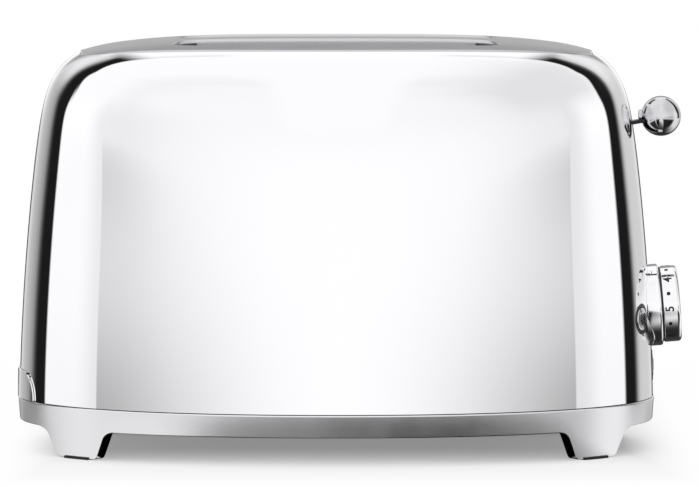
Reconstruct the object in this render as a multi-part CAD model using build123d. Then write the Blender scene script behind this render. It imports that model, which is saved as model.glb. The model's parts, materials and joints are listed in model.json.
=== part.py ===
from build123d import *
import math
import os

os.makedirs("parts", exist_ok=True)

# A two-slot retro toaster, in millimetres, +Z up. The sizes below are taken from the middle of the
# body: X runs along its length towards the lever end, and the front is -Y. The finished parts are
# moved along X so that the origin lies on the floor under the middle of the whole object.

# Overall sizes
body_length = 311.0
body_depth = 195.0
body_height = 199.9
running_gap = 0.3

# Base casting and what stands in it
ring_bottom = 14.0
ring_top = 25.0
ring_wall = 6.5
ring_squareness = 2.2
ledge_width = 4.0
ledge_thickness = 1.0
foot_from_end = 29.2
foot_half_width = 9.8
foot_side_spread = 5.0
foot_thickness = 9.0
foot_hollow = 6.0
foot_toe_radius = 2.0
pad_thickness = 1.2
pad_inset = 2.2
cover_thickness = 1.2
cover_screw_from_end = 55.0
cover_boss_radius = 6.0
screw_radius = 1.5
screw_clearance = 0.1
screw_head_margin = 1.5
screw_head_height = 1.6
vent_half_width = 1.5
vent_half_length = 24.0
vent_pitch = 9.0
vent_rows = 5

# Mains entry and the cleats that the cord is wound on
gland_from_middle = 64.0
gland_hole_radius = 5.5
gland_wall = 1.9
gland_lip = 1.6
cleat_from_middle = 68.0
cleat_half_depth = 14.0
cleat_lip = 7.0
cleat_lip_thickness = 1.5
cleat_cord_room = 6.0
terminal_pitch = 8.0

# Pressed shell: a lean that grows with the square of the height, and a shoulder that closes it
shell_wall = 1.0
shell_lip = 0.3
shell_over_rim = 0.6
end_lean = 4.1
end_shoulder = 15.0
end_shoulder_reach = 9.23
side_lean = 3.0
side_shoulder = 25.2
side_shoulder_reach = 13.0
rim_squareness = 3.0
shell_sections = 14
section_crowding = 1.8
outline_count = 32

# Top panel and its bread slots
panel_sheet = 1.2
panel_skirt = 4.0
panel_drop_end = 6.8
panel_drop_side = 2.8
panel_rows_x = 25
panel_rows_y = 15
slot_length = 157.0
slot_width = 32.0
slot_land = 19.2
slot_corner = 12.0
collar_sheet = 0.8
collar_depth = 11.0

# Toasting chamber
sheet = 1.0
chamber_end_margin = 5.5
chamber_below_top = 16.0
floor_above_tray = 4.5
floor_opening_margin = 8.0
guide_from_slot = 4.4
board_from_guide = 4.0
reflector_from_board = 4.2
reflector_sheet = 0.8
plate_beyond_reflector = 1.8
plate_shoulder = 10.0
plate_shoulder_drop = 12.0
board_sheet = 0.8
heater_wire_rows = 9
heater_wire_width = 2.0
heater_wire_thickness = 0.3
heater_wire_margin = 10.0
heater_wire_above_rail = 4.0
guide_wire_radius = 1.0
guide_count = 11
guide_low_above_floor = 17.0
guide_high_below_top = 22.0
guide_travel = 7.0
guide_slot_clearance = 0.4

# Lift mechanism
lifter_above_floor = 5.0
lifter_height = 10.0
lifter_sheet = 1.5
saddle_count = 8
saddle_half_width = 2.0
saddle_half_depth = 6.0
carriage_from_chamber = 8.0
carriage_sheet = 1.5
rod_from_carriage = 7.0
rod_from_middle = 10.0
rod_radius = 2.5
rod_clearance = 0.05
sleeve_wall = 1.45
sleeve_height = 12.0
rivet_radius = 1.5
rivet_drops = (12.0, 5.0)
arm_below_top = 43.1
arm_sheet = 1.8
arm_half_width = 4.0
arm_foot = 16.0
arm_rise_degrees = 10.0
arm_bend_from_tip = 9.0
ball_radius = 9.8
ball_above_arm = 4.7
ball_clearance = 0.5
lever_slot_beside_arm = 1.6
lever_slot_above_arm = 5.0
lever_slot_spare = 2.5
lever_slot_above_bezel = 17.5
spring_above_arm = 7.7
spring_radius = 3.2
spring_wire_radius = 0.4
spring_pitch = 1.3667
spring_eye_height = 1.5
plate_sheet = 1.2
magnet_from_carriage = 17.0
magnet_height = 18.0
magnet_half_length = 5.0
magnet_sheet = 2.0
magnet_coil_gap = 0.8
magnet_pole_radius = 2.5
magnet_winding_radius = 6.6
magnet_flange = 0.6
armature_rest_spare = 2.0

# Browning control and buttons, in a frame whose axis leans with the end of the shell
control_tilt_degrees = 4.4
knob_radius = 18.6
knob_depth = 8.6
knob_gap = 0.6
knob_edge = 1.8
knob_dish_margin = 4.0
knob_dish = 0.6
bezel_margin = 1.4
bezel_front = 6.2
bezel_chamfer = 1.2
bezel_wall = 3.0
bezel_bore_radius = 7.0
shaft_radius = 3.0
timer_radius = 11.0
timer_neck_wall = 1.45
bracket_front = -14.0
board_front = -31.4
board_thickness = 1.6
button_clearance = 1.8
button_above_ring = 7.0
button_drop_degrees = 7.4
button_ring_wall = 1.6
button_ring_stand = 0.5
button_radius = 5.6
button_stand = 0.9
button_travel = 1.5
stem_radius = 1.5
switch_half = 3.0
switch_height = 4.4

# Crumb tray
tray_half_width = 32.0
tray_above_ring = 2.5
tray_depth = 9.0
tray_wall = 0.8
handle_overlap_side = 2.7
handle_overlap_top = 2.5
handle_corner = 13.0
handle_sheet = 0.7
door_clearance = 1.0

# Sizes that follow from those above, first the base and the body's rims
cover_bottom = ring_bottom + ledge_thickness
cover_top = cover_bottom + cover_thickness
end_rim = body_height - panel_drop_end
side_rim = body_height - panel_drop_side
lower_body_top = end_rim * 0.6
ring_half_length = body_length / 2
ring_half_depth = body_depth / 2
screw_hole_radius = screw_radius + screw_clearance
screw_head_radius = screw_radius + screw_head_margin
tray_bottom = ring_top + tray_above_ring
tray_top = tray_bottom + tray_depth
handle_half_width = tray_half_width + handle_overlap_side
handle_top = tray_top + handle_overlap_top
door_half_width = tray_half_width + door_clearance
floor_height = tray_top + floor_above_tray

# The chamber is laid out from the slots, and the mechanism from the chamber's end
slot_y = (slot_width + slot_land) / 2
outer_guide_y = slot_y + slot_width / 2 + guide_from_slot
inner_guide_y = slot_y - slot_width / 2 - guide_from_slot
outer_board_y = outer_guide_y + board_from_guide
reflector_y = outer_board_y + reflector_from_board
chamber_half_depth = reflector_y + plate_beyond_reflector
chamber_end_x = slot_length / 2 + chamber_end_margin
chamber_reach = chamber_end_x - running_gap
chamber_top = body_height - chamber_below_top
guide_low = floor_height + guide_low_above_floor
guide_high = body_height - guide_high_below_top
carriage_x = chamber_end_x + carriage_from_chamber
carriage_face = carriage_x + carriage_sheet
rod_x = carriage_x + rod_from_carriage
magnet_x = carriage_x + magnet_from_carriage
mechanism_floor = floor_height + sheet
rod_bore_radius = rod_radius + rod_clearance
sleeve_radius = rod_bore_radius + sleeve_wall
magnet_flange_radius = magnet_winding_radius + magnet_flange
magnet_half_width = magnet_flange_radius + magnet_coil_gap + magnet_sheet

# From the ring up at the lever end: a button, the knob, and the slot that sets the lever's travel
bezel_radius = knob_radius + bezel_margin
timer_neck_radius = shaft_radius + running_gap / 6 + timer_neck_wall
button_ring_radius = button_radius + running_gap + button_ring_wall
button_offset = bezel_radius + button_clearance + button_ring_radius
knob_height = ring_top + button_above_ring + button_ring_radius + button_offset
arm_height = body_height - arm_below_top
lever_slot_half_width = arm_half_width + lever_slot_beside_arm
lever_slot_foot = knob_height + bezel_radius + lever_slot_above_bezel
lever_travel = arm_height - lever_slot_spare - lever_slot_foot
ball_height = arm_height + ball_above_arm
spring_low = arm_height + spring_above_arm
lifter_low = floor_height + sheet + lever_travel + lifter_above_floor
lifter_top = lifter_low + lifter_height
pole_top = mechanism_floor + magnet_height
armature_top = pole_top + running_gap + lever_travel + armature_rest_spare

# The bracket and the board behind the knob reach past the buttons
bracket_back = bracket_front - plate_sheet
bracket_half_width = button_offset + 4.7
bracket_low = -(button_offset + 8.7)
bracket_high = bezel_radius + 5.0
board_back = board_front - board_thickness


def box(x_low, x_high, y_low, y_high, z_low, z_high):
    size = (x_high - x_low, y_high - y_low, z_high - z_low)
    middle = ((x_low + x_high) / 2, (y_low + y_high) / 2, (z_low + z_high) / 2)
    return Pos(*middle) * Box(*size)


def post(radius, x, y, z_low, z_high):
    """A cylinder along Z."""
    return Pos(x, y, (z_low + z_high) / 2) * Cylinder(radius, z_high - z_low)


def spindle(radius, start, end, y=0.0, z=0.0):
    """A cylinder along X."""
    return Pos((start + end) / 2, y, z) * Rot(0, 90, 0) * Cylinder(radius, end - start)


def joined(pieces):
    result = pieces[0]
    for piece in pieces[1:]:
        result += piece
    return result


def half_length(z):
    """Half the length of the shell's outer surface at a height."""
    shoulder = end_shoulder * math.exp((z - end_rim) / end_shoulder_reach)
    return body_length / 2 - shell_lip - end_lean * (z / 100) ** 2 - shoulder


def half_depth(z):
    """Half the depth of the shell's outer surface at a height."""
    shoulder = side_shoulder * math.exp((z - side_rim) / side_shoulder_reach)
    return body_depth / 2 - shell_lip - side_lean * (z / 100) ** 2 - shoulder


def squareness(z):
    """The power of the superellipse that is the shell's outline at a height."""
    return ring_squareness + (rim_squareness - ring_squareness) * (z / end_rim) ** 5


def outline(half_x, half_y, power, z):
    """A face bounded by a superellipse, with its seam at the back."""
    points = []
    for step in range(outline_count):
        angle = math.pi / 2 + 2 * math.pi * step / outline_count
        across = (abs(math.cos(angle)) / half_x) ** power
        reach = (across + (abs(math.sin(angle)) / half_y) ** power) ** (-1 / power)
        points.append((reach * math.cos(angle), reach * math.sin(angle), z))
    return make_face(Spline(*points, periodic=True))


def oval_prism(half_x, half_y, power, z_low, z_high):
    return extrude(outline(half_x, half_y, power, z_low), amount=z_high - z_low, dir=(0, 0, 1))


def body_solid(grow, lift, z_low, z_high):
    """The body's outer form between two heights, grown sideways and with its surface lowered by lift."""
    faces = []
    for step in range(shell_sections):
        share = step / (shell_sections - 1)
        z = z_low + (z_high - z_low) * (1 - (1 - share) ** section_crowding)
        level = z + lift
        faces.append(outline(half_length(level) + grow, half_depth(level) + grow, squareness(level), z))
    return loft(faces)


def lower_body(grow):
    """The body's form from the ring up to well above the buttons and the tray."""
    return body_solid(grow, 0, ring_top, lower_body_top)


panel_half_length = half_length(end_rim) - running_gap
panel_half_depth = half_depth(side_rim) - running_gap
shell_tip = half_length(knob_height)
arm_tip = half_length(arm_height)
# The shell widens downwards, so the ball is set out to pass the slot's sides and foot there
ball_low = ball_height - lever_travel
ball_at_sides = half_length(ball_low) + math.sqrt(ball_radius**2 - lever_slot_half_width**2)
ball_at_foot = half_length(lever_slot_foot)
if ball_radius > ball_low - lever_slot_foot:
    ball_at_foot += math.sqrt(ball_radius**2 - (ball_low - lever_slot_foot) ** 2)
ball_x = max(ball_at_sides, ball_at_foot) + ball_clearance
control_frame = Location((shell_tip, 0, knob_height), (0, -control_tilt_degrees, 0))
button_ring_skin = lower_body(button_ring_stand)
button_cap_skin = lower_body(button_stand)


def panel_top(x, y):
    """The height of the crowned panel at a place."""
    drop_end = panel_drop_end * abs(x / panel_half_length) ** 4
    drop_side = panel_drop_side * abs(y / panel_half_depth) ** 3.5
    return body_height - drop_end - drop_side


def ring_y(x):
    return ring_half_depth * (1 - (x / ring_half_length) ** ring_squareness) ** (1 / ring_squareness)


def button_places():
    """Where the buttons sit across the control frame: front side, back side and under the knob."""
    across = button_offset * math.cos(math.radians(button_drop_degrees))
    down = -button_offset * math.sin(math.radians(button_drop_degrees))
    return {"reheat": (-across, down), "defrost": (across, down), "cancel": (0.0, -button_offset)}


def cover_screw_places():
    x = ring_half_length - cover_screw_from_end
    y = ring_y(x) - ring_wall - screw_head_radius
    return [(sx * x, sy * y) for sx in (-1, 1) for sy in (-1, 1)]


def foot_profile():
    """The foot seen square on: straight sides, hollow where they run into the ring."""
    wide = foot_half_width + foot_side_spread
    far = wide + 2 * foot_hollow
    top = ring_bottom + foot_hollow
    corners = [(-far, top), (-far, ring_bottom), (-wide, ring_bottom), (-foot_half_width, pad_thickness)]
    corners += [(-x, z) for x, z in reversed(corners)]
    face = make_face(Plane.XZ * Polyline(*corners, close=True))
    hollow = [v for v in face.vertices() if abs(abs(v.X) - wide) < 0.01]
    face = fillet(hollow, foot_hollow)
    toes = [v for v in face.vertices() if abs(v.Z - pad_thickness) < 0.01]
    return fillet(toes, foot_toe_radius)


def foot_frames():
    """One frame for each foot, its Y axis square to the ring's outer face and pointing out."""
    x = ring_half_length - foot_from_end
    y = ring_y(x)
    power = ring_squareness - 1
    out_x = (x / ring_half_length) ** power / ring_half_length
    out_y = (y / ring_half_depth) ** power / ring_half_depth
    turn = math.degrees(math.atan2(out_x, out_y))
    return [
        Location((x, y, 0), (0, 0, -turn)),
        Location((-x, y, 0), (0, 0, turn)),
        Location((x, -y, 0), (0, 0, 180 + turn)),
        Location((-x, -y, 0), (0, 0, 180 - turn)),
    ]


def foot_block(inner, z_low):
    """The stock of one foot, from its inner face out past the ring."""
    far = foot_half_width + foot_side_spread + 2 * foot_hollow
    return box(-far, far, -inner, far, z_low, ring_top)


def under_ring():
    """The open space under the ring, between the feet and inside them."""
    space = box(-body_length, body_length, -body_depth, body_depth, -1, ring_bottom)
    profile = foot_profile()
    reach = foot_half_width + foot_side_spread + foot_thickness
    for frame in foot_frames():
        foot = extrude(profile, amount=reach, both=True)
        space -= frame * (foot & foot_block(foot_thickness, -5))
    return space


def base_frame():
    """The cast ring: an oval wall with a ledge inside, cut away underneath to leave four feet."""
    reach = (ring_half_length, ring_half_depth)
    ring = oval_prism(*reach, ring_squareness, pad_thickness, ring_top)
    inner = [size - ring_wall for size in reach]
    ring -= oval_prism(*inner, ring_squareness, cover_bottom, ring_top + 1)
    window = oval_prism(*[size - ledge_width for size in inner], ring_squareness, 0, cover_bottom + 1)
    for x, y in cover_screw_places():
        window -= post(cover_boss_radius, x, y, -1, cover_bottom + 2)
    for frame in foot_frames():
        window -= frame * foot_block(foot_thickness, -1)
    ring -= window
    ring -= under_ring()
    for x, y in cover_screw_places():
        ring -= post(screw_hole_radius, x, y, ring_bottom - 1, cover_bottom + 1)
    return ring


def foot_pads():
    half = foot_half_width - pad_inset
    stock = oval_prism(ring_half_length - 1, ring_half_depth - 1, ring_squareness, 0, pad_thickness)
    block = box(-half, half, 1 - foot_thickness, body_depth, 0, pad_thickness)
    return [(frame * (block & foot_block(foot_thickness, 0))) & stock for frame in foot_frames()]


def bottom_cover():
    size = [half - ring_wall - running_gap for half in (ring_half_length, ring_half_depth)]
    plate = oval_prism(*size, ring_squareness, cover_bottom, cover_top)
    for x, y in cover_screw_places():
        plate -= post(screw_hole_radius, x, y, cover_bottom - 1, cover_top + 1)
    plate -= post(gland_hole_radius, 0, gland_from_middle, cover_bottom - 1, cover_top + 1)
    through = (-vent_half_length, vent_half_length, cover_bottom - 1, cover_top + 1)
    for row in range(vent_rows):
        for side in (-1, 1):
            x = side * (16 + vent_pitch * row)
            plate -= box(x - vent_half_width, x + vent_half_width, *through)
    return plate


def cover_screws():
    screws = []
    head_low = ring_bottom - screw_head_height
    driver_slot = 0.4
    for x, y in cover_screw_places():
        head = post(screw_head_radius, x, y, head_low, ring_bottom)
        head -= box(x - 2.2, x + 2.2, y - driver_slot, y + driver_slot, head_low - 1, head_low + 0.6)
        screws.append(head + post(screw_radius, x, y, ring_bottom, cover_top + 2))
    return screws


def cord_gland():
    """A rubber bush with a lip on each side of the cover."""
    y = gland_from_middle
    low = post(gland_hole_radius + 2.5, 0, y, cover_bottom - gland_lip, cover_bottom)
    high = post(gland_hole_radius + 1.5, 0, y, cover_top, cover_top + gland_lip)
    bush = low + post(gland_hole_radius - 0.1, 0, y, cover_bottom, cover_top) + high
    return bush - post(gland_hole_radius - gland_wall, 0, y, cover_bottom - 3, cover_top + 3)


def cord_cleats():
    """Two T-shaped cleats under the cover, which the cord is wound round for storage."""
    cleats = []
    lip_top = cover_bottom - cleat_cord_room
    lip_bottom = lip_top - cleat_lip_thickness
    ends = (-cleat_half_depth, cleat_half_depth)
    for side in (-1, 1):
        stem_middle = side * cleat_from_middle
        stem = box(stem_middle - 3, stem_middle + 3, *ends, lip_top, cover_bottom)
        lip_middle = side * (cleat_from_middle + 4)
        cleats.append(stem + box(lip_middle - cleat_lip, lip_middle + cleat_lip, *ends, lip_bottom, lip_top))
    return cleats


def terminal_block():
    """Three terminals in a row, each with a screw well above and a wire hole at the side."""
    half = 1.5 * terminal_pitch + 1
    front = gland_from_middle + 9
    back = front + 11
    block = box(-half, half, front, back, cover_top, cover_top + 11)
    for step in (-1, 0, 1):
        x = step * terminal_pitch
        block -= post(2.2, x, (front + back) / 2, cover_top + 6, cover_top + 12)
        block -= Pos(x, front, cover_top + 4) * Rot(90, 0, 0) * Cylinder(1.6, 8)
    return block


def outer_shell():
    cap = side_rim + shell_over_rim
    outer = body_solid(0, 0, ring_top, cap)
    inner = body_solid(-0.8 * shell_wall, shell_wall, ring_top - 1, cap - shell_wall)
    hole_sizes = (panel_half_length + running_gap, panel_half_depth + running_gap)
    shell = outer - inner
    shell -= oval_prism(*hole_sizes, rim_squareness, end_rim - 8, cap + 5)
    half = lever_slot_half_width
    low = lever_slot_foot + half
    high = arm_height + lever_slot_above_arm - half
    start = carriage_face + arm_sheet + 20
    end = ring_half_length + 10
    slot = box(start, end, -half, half, low, high)
    for z in (low, high):
        slot += spindle(half, start, end, 0, z)
    shell -= slot
    shell -= control_frame * spindle(bezel_radius + 0.2, -30, 30)
    for y, z in button_places().values():
        shell -= control_frame * spindle(button_ring_radius + 0.2, -30, 30, y, z)
    door_low = tray_bottom - 0.9
    door_high = tray_top + 0.9
    shell -= box(-end, -chamber_end_x - 16, -door_half_width, door_half_width, door_low, door_high)
    return shell


def panel_block(top_shift, depth):
    """A block under the panel's crowned surface, lowered by top_shift."""
    rows = []
    overhang = 3.0
    for i in range(panel_rows_x):
        x = (panel_half_length + overhang) * (2 * i / (panel_rows_x - 1) - 1)
        row = []
        for j in range(panel_rows_y):
            y = (panel_half_depth + overhang) * (2 * j / (panel_rows_y - 1) - 1)
            row.append(Vector(x, y, panel_top(x, y) - top_shift))
        rows.append(row)
    surface = Face.make_surface_from_array_of_points(rows)
    return extrude(surface, amount=depth, dir=(0, 0, -1))


def slot_prism(grow, z_low, z_high):
    """The two bread slots as solids, grown sideways."""
    face = RectangleRounded(slot_length + 2 * grow, slot_width + 2 * grow, slot_corner + grow)
    return [Pos(0, side * slot_y, z_low) * extrude(face, amount=z_high - z_low) for side in (-1, 1)]


def top_panel():
    """A crowned sheet with a turned-down edge, and a collar round each slot."""
    sizes = (panel_half_length, panel_half_depth)
    inner_sizes = [size - panel_sheet for size in sizes]
    heights = (end_rim - 12, body_height + 5)
    block_depth = 14.0
    panel = panel_block(0, panel_skirt) & oval_prism(*sizes, rim_squareness, *heights)
    panel -= panel_block(panel_sheet, block_depth) & oval_prism(*inner_sizes, rim_squareness, *heights)
    block = panel_block(0, block_depth)
    collar_low = body_height - collar_depth
    outers = slot_prism(collar_sheet, collar_low, body_height + 5)
    inners = slot_prism(0, collar_low - 1, body_height + 6)
    for outer, inner in zip(outers, inners):
        panel += outer & block
        panel -= inner
    return panel


def guide_places():
    """Rest place and direction of travel of the outer and the inner guide of one slot."""
    return [(outer_guide_y, -1), (inner_guide_y, 1)]


def end_plate(side):
    """A chamber end: it stands on the bottom cover and carries the boards, guides and top panel."""
    reach = chamber_half_depth
    shoulder_y = reach - plate_shoulder
    top = panel_top(chamber_end_x + sheet, shoulder_y) - panel_sheet - running_gap
    corners = [(-reach, cover_top), (-reach, top - plate_shoulder_drop), (-shoulder_y, top)]
    corners += [(-y, z) for y, z in reversed(corners)]
    face = make_face(Plane.YZ * Polyline(*corners, close=True))
    plate = Pos(chamber_end_x, 0, 0) * extrude(face, amount=sheet, dir=(1, 0, 0))
    if side < 0:
        plate = mirror(plate, about=Plane.YZ)
    across = sorted((side * (chamber_end_x - 1), side * (chamber_end_x + sheet + 1)))
    half_slot = lifter_sheet / 2 + 1.05
    for slot_side in (-1, 1):
        y = slot_side * slot_y
        low = lifter_low - lever_travel - 2
        plate -= box(*across, y - half_slot, y + half_slot, low, lifter_top + 2)
        for rest, direction in guide_places():
            ends = sorted((rest * slot_side, (rest + direction * guide_travel) * slot_side))
            margin = guide_wire_radius + guide_slot_clearance
            for z in (guide_low, guide_high):
                plate -= box(*across, ends[0] - margin, ends[1] + margin, z - margin, z + margin)
    if side < 0:
        door_low = tray_bottom - running_gap - 0.9
        door_high = tray_top + 1
        plate -= box(*across, -door_half_width, door_half_width, door_low, door_high)
    return plate


def chamber_floor():
    depth = chamber_half_depth
    plate = box(-chamber_reach, chamber_reach, -depth, depth, floor_height, floor_height + sheet)
    open_x = chamber_reach - floor_opening_margin
    open_y = tray_half_width - 3
    return plate - box(-open_x, open_x, -open_y, open_y, 0, 100)


def reflector(side):
    y_low, y_high = sorted((side * reflector_y, side * (reflector_y + reflector_sheet)))
    return box(-chamber_reach, chamber_reach, y_low, y_high, floor_height + sheet, chamber_top)


def heater_board(y):
    half = board_sheet / 2
    return box(-chamber_reach, chamber_reach, y - half, y + half, floor_height + sheet, chamber_top - 3)


def heater_wire(board_y, face):
    """A flat resistance ribbon run to and fro across one face of a heater board."""
    reach = chamber_end_x - heater_wire_margin
    low = guide_low + heater_wire_above_rail
    pitch = (guide_high - heater_wire_above_rail - low) / (heater_wire_rows - 1)
    half = heater_wire_width / 2
    strips = []
    for row in range(heater_wire_rows):
        z = low + pitch * row
        strips.append((-reach, reach, z - half, z + half))
        if row:
            end = reach if row % 2 else -reach
            strips.append((end - half, end + half, z - pitch - half, z + half))
    start = board_y + face * board_sheet / 2
    y_low, y_high = sorted((start, start + face * heater_wire_thickness))
    return joined([box(x0, x1, y_low, y_high, z0, z1) for x0, x1, z0, z1 in strips])


def bread_guide(y):
    """Two rails that pass through the chamber ends, joined by upright wires."""
    reach = chamber_end_x + sheet + 2
    rails = [spindle(guide_wire_radius, -reach, reach, y, z) for z in (guide_low, guide_high)]
    spread = slot_length / 2 - 4
    wires = []
    for i in range(guide_count):
        x = spread * (2 * i / (guide_count - 1) - 1)
        wires.append(post(guide_wire_radius * 0.9, x, y, guide_low, guide_high))
    return joined(rails + wires)


def bread_lifter(side):
    """A blade that runs through both chamber ends, with cross saddles that hold the bread."""
    y = side * slot_y
    half = lifter_sheet / 2
    left = -(chamber_end_x + sheet + 3)
    blade = box(left, carriage_x, y - half, y + half, lifter_low, lifter_top)
    saddles = []
    for i in range(saddle_count):
        x = (slot_length / 2 - 8) * (2 * i / (saddle_count - 1) - 1)
        along = (x - saddle_half_width, x + saddle_half_width)
        across = (y - saddle_half_depth, y + saddle_half_depth)
        saddles.append(box(*along, *across, lifter_top - 1, lifter_top + 0.5))
    return joined([blade] + saddles)


def rivet_heights():
    return [arm_height - drop for drop in rivet_drops]


def carriage():
    """The plate that carries both lifters, with sleeves for the rods, a spring lug and a shelf."""
    face = carriage_face
    low = lifter_low - 2
    cross = box(carriage_x, face, -slot_y - 3, slot_y + 3, low, lifter_top + 4)
    mast_half = rod_from_middle + sleeve_radius
    mast = box(carriage_x, face, -mast_half, mast_half, low, spring_low)
    lug = box(face, rod_x + 4.5, -arm_half_width, arm_half_width, spring_low - carriage_sheet, spring_low)
    shelf_half = rod_from_middle - sleeve_radius - 0.5
    shelf_end = magnet_x + magnet_half_length
    shelf = box(face, shelf_end, -shelf_half, shelf_half, armature_top, armature_top + carriage_sheet)
    pieces = [cross, mast, lug, shelf]
    web_half = 1.5
    for side in (-1, 1):
        y = side * rod_from_middle
        for sleeve_low in (lifter_low, arm_height - sleeve_height + 5):
            sleeve_high = sleeve_low + sleeve_height
            pieces.append(post(sleeve_radius, rod_x, y, sleeve_low, sleeve_high))
            pieces.append(box(face - 0.5, rod_x, y - web_half, y + web_half, sleeve_low, sleeve_high))
    result = joined(pieces)
    for side in (-1, 1):
        result -= post(rod_bore_radius, rod_x, side * rod_from_middle, 0, body_height)
    for z in rivet_heights():
        result -= spindle(rivet_radius, carriage_x - 1, face + 1, 0, z)
    return result


def guide_rods():
    return [post(rod_radius, rod_x, side * rod_from_middle, mechanism_floor, chamber_top) for side in (-1, 1)]


def mechanism_base():
    """A shelf from the chamber end to a leg that stands on the bottom cover."""
    low = mechanism_floor - plate_sheet
    end = magnet_x + 9
    plate = box(chamber_end_x + sheet, end, -34, 34, low, mechanism_floor)
    return plate + box(end - plate_sheet, end, -20, 20, cover_top, low)


def mechanism_top():
    """The plate that holds the rods' upper ends and the spring, with a tab up the chamber end."""
    face = chamber_end_x + sheet
    half = 18.0
    high = chamber_top + plate_sheet
    plate = box(face, rod_x + 8, -half, half, chamber_top, high)
    return plate + box(face, face + plate_sheet, -half, half, high, chamber_top + 9)


def return_spring():
    """An extension spring: closed eyes at the carriage lug and the top plate, open coils between."""
    coil_low = spring_low + spring_eye_height
    coil_high = chamber_top - spring_eye_height
    helix = Helix(pitch=spring_pitch, height=coil_high - coil_low, radius=spring_radius)
    section = Plane(origin=helix @ 0, z_dir=helix % 0) * Circle(spring_wire_radius)
    coil = Pos(rod_x, 0, coil_low) * sweep(section, path=helix)
    eyes = []
    for z_low, z_high in ((spring_low, coil_low + 0.2), (coil_high - 0.2, chamber_top)):
        ring = post(spring_radius + 0.5, rod_x, 0, z_low, z_high)
        eyes.append(ring - post(spring_radius - 0.9, rod_x, 0, z_low - 1, z_high + 1))
    return joined([eyes[0], coil, eyes[1]])


def armature():
    along = (magnet_x - magnet_half_length, magnet_x + magnet_half_length)
    return box(*along, -magnet_half_width, magnet_half_width, armature_top - magnet_sheet, armature_top)


def magnet_core():
    """A U-shaped yoke with a round pole in the middle."""
    low = mechanism_floor
    half = magnet_half_width
    along = (magnet_x - magnet_half_length, magnet_x + magnet_half_length)
    yoke = box(*along, -half, half, low, low + 3)
    ends = ((-half, magnet_sheet - half), (half - magnet_sheet, half))
    sides = [box(*along, *ys, low, pole_top) for ys in ends]
    return joined([yoke, post(magnet_pole_radius, magnet_x, 0, low, pole_top)] + sides)


def magnet_coil():
    """The winding on its spool, between two flanges."""
    low = mechanism_floor + 3
    high = pole_top - 1.5
    flanges = [post(magnet_flange_radius, magnet_x, 0, z, z + 1) for z in (low, high - 1)]
    winding = post(magnet_winding_radius, magnet_x, 0, low, high)
    return joined([winding] + flanges) - post(magnet_pole_radius + 0.2, magnet_x, 0, low - 1, pole_top)


def mains_switch():
    """A block beside the magnet, with the leaf that the carriage presses."""
    low = mechanism_floor
    body = box(rod_x - 3, rod_x + 9, 19, 29, low, low + 9)
    leaf = box(rod_x - 2, rod_x + 8, 21, 27, low + 9, low + 9.6)
    return body + leaf


def arm_outline(grow):
    """The arm seen from the front: a riveted foot, a level run and a rise into the ball."""
    bend_x = arm_tip - arm_bend_from_tip
    end_x = ball_x + 3
    half = arm_sheet / 2 + grow
    slope = math.tan(math.radians(arm_rise_degrees))
    end_z = arm_height + (end_x - bend_x) * slope
    corners = [
        (carriage_face, arm_height - arm_foot),
        (carriage_face + arm_sheet, arm_height - arm_foot),
        (carriage_face + arm_sheet, arm_height - half),
        (bend_x + half * slope / 2, arm_height - half),
        (end_x + grow, end_z - half + grow * slope),
        (end_x + grow, end_z + half + grow * slope),
        (bend_x - half * slope / 2, arm_height + half),
        (carriage_face, arm_height + half),
    ]
    return make_face(Plane.XZ * Polyline(*corners, close=True))


def lever_arm():
    arm = extrude(arm_outline(0), amount=arm_half_width, both=True)
    for z in rivet_heights():
        arm -= spindle(rivet_radius, carriage_x, carriage_x + 8, 0, z)
    return arm


def lever_rivets():
    """Rivets that hold the arm's foot to the carriage."""
    outer = carriage_face + arm_sheet
    head_radius = rivet_radius + 1
    rivets = []
    for z in rivet_heights():
        shank = spindle(rivet_radius - 0.05, carriage_x, outer, 0, z)
        tail = spindle(head_radius, carriage_x - 0.8, carriage_x, 0, z)
        rivets.append(tail + shank + spindle(head_radius, outer, outer + 1, 0, z))
    return rivets


def lever_knob():
    """A ball with a socket that the arm is pressed into."""
    fit = 0.05
    ball = Pos(ball_x, 0, ball_height) * Sphere(ball_radius)
    return ball - extrude(arm_outline(fit), amount=arm_half_width + fit, both=True)


def front_edges(solid, face):
    return [edge for edge in solid.edges() if edge.center().X > face - 0.1]


def knob_bezel():
    """A cup that stands on the bracket and shows as a collar behind the knob."""
    cup = spindle(bezel_radius, bracket_front, bezel_front)
    cup = chamfer(front_edges(cup, bezel_front), bezel_chamfer)
    cup -= spindle(bezel_radius - bezel_wall, bracket_front - 1, bezel_front - 2)
    cup -= spindle(bezel_bore_radius, bracket_front, bezel_front + 1)
    return control_frame * cup


def browning_knob():
    back = bezel_front + knob_gap
    front = back + knob_depth
    knob = spindle(knob_radius, back, front)
    knob = fillet(front_edges(knob, front), knob_edge)
    knob -= spindle(knob_radius - knob_dish_margin, front - knob_dish, front + 1)
    knob += spindle(bezel_bore_radius - 1, back - 6, back)
    knob -= spindle(shaft_radius + 0.02, back - 10, front - 3)
    return control_frame * knob


def timer_shaft():
    end = bezel_front + knob_gap + knob_depth - 3.2
    return control_frame * spindle(shaft_radius, board_front + 3, end)


def timer_unit():
    """A round housing between the board and the bracket, with a threaded neck."""
    body = spindle(timer_radius, board_front, bracket_back)
    body += spindle(timer_neck_radius, bracket_back, bracket_front + 4)
    body -= spindle(shaft_radius + 0.05, board_front + 2.5, bracket_front + 6)
    return control_frame * body


def timer_nut():
    face = RegularPolygon(timer_neck_radius + 2.5, 6)
    nut = Pos(bracket_front, 0, 0) * Rot(0, 90, 0) * extrude(face, amount=2.5)
    return control_frame * (nut - spindle(timer_neck_radius + 0.05, bracket_front - 1, bracket_front + 4))


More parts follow.
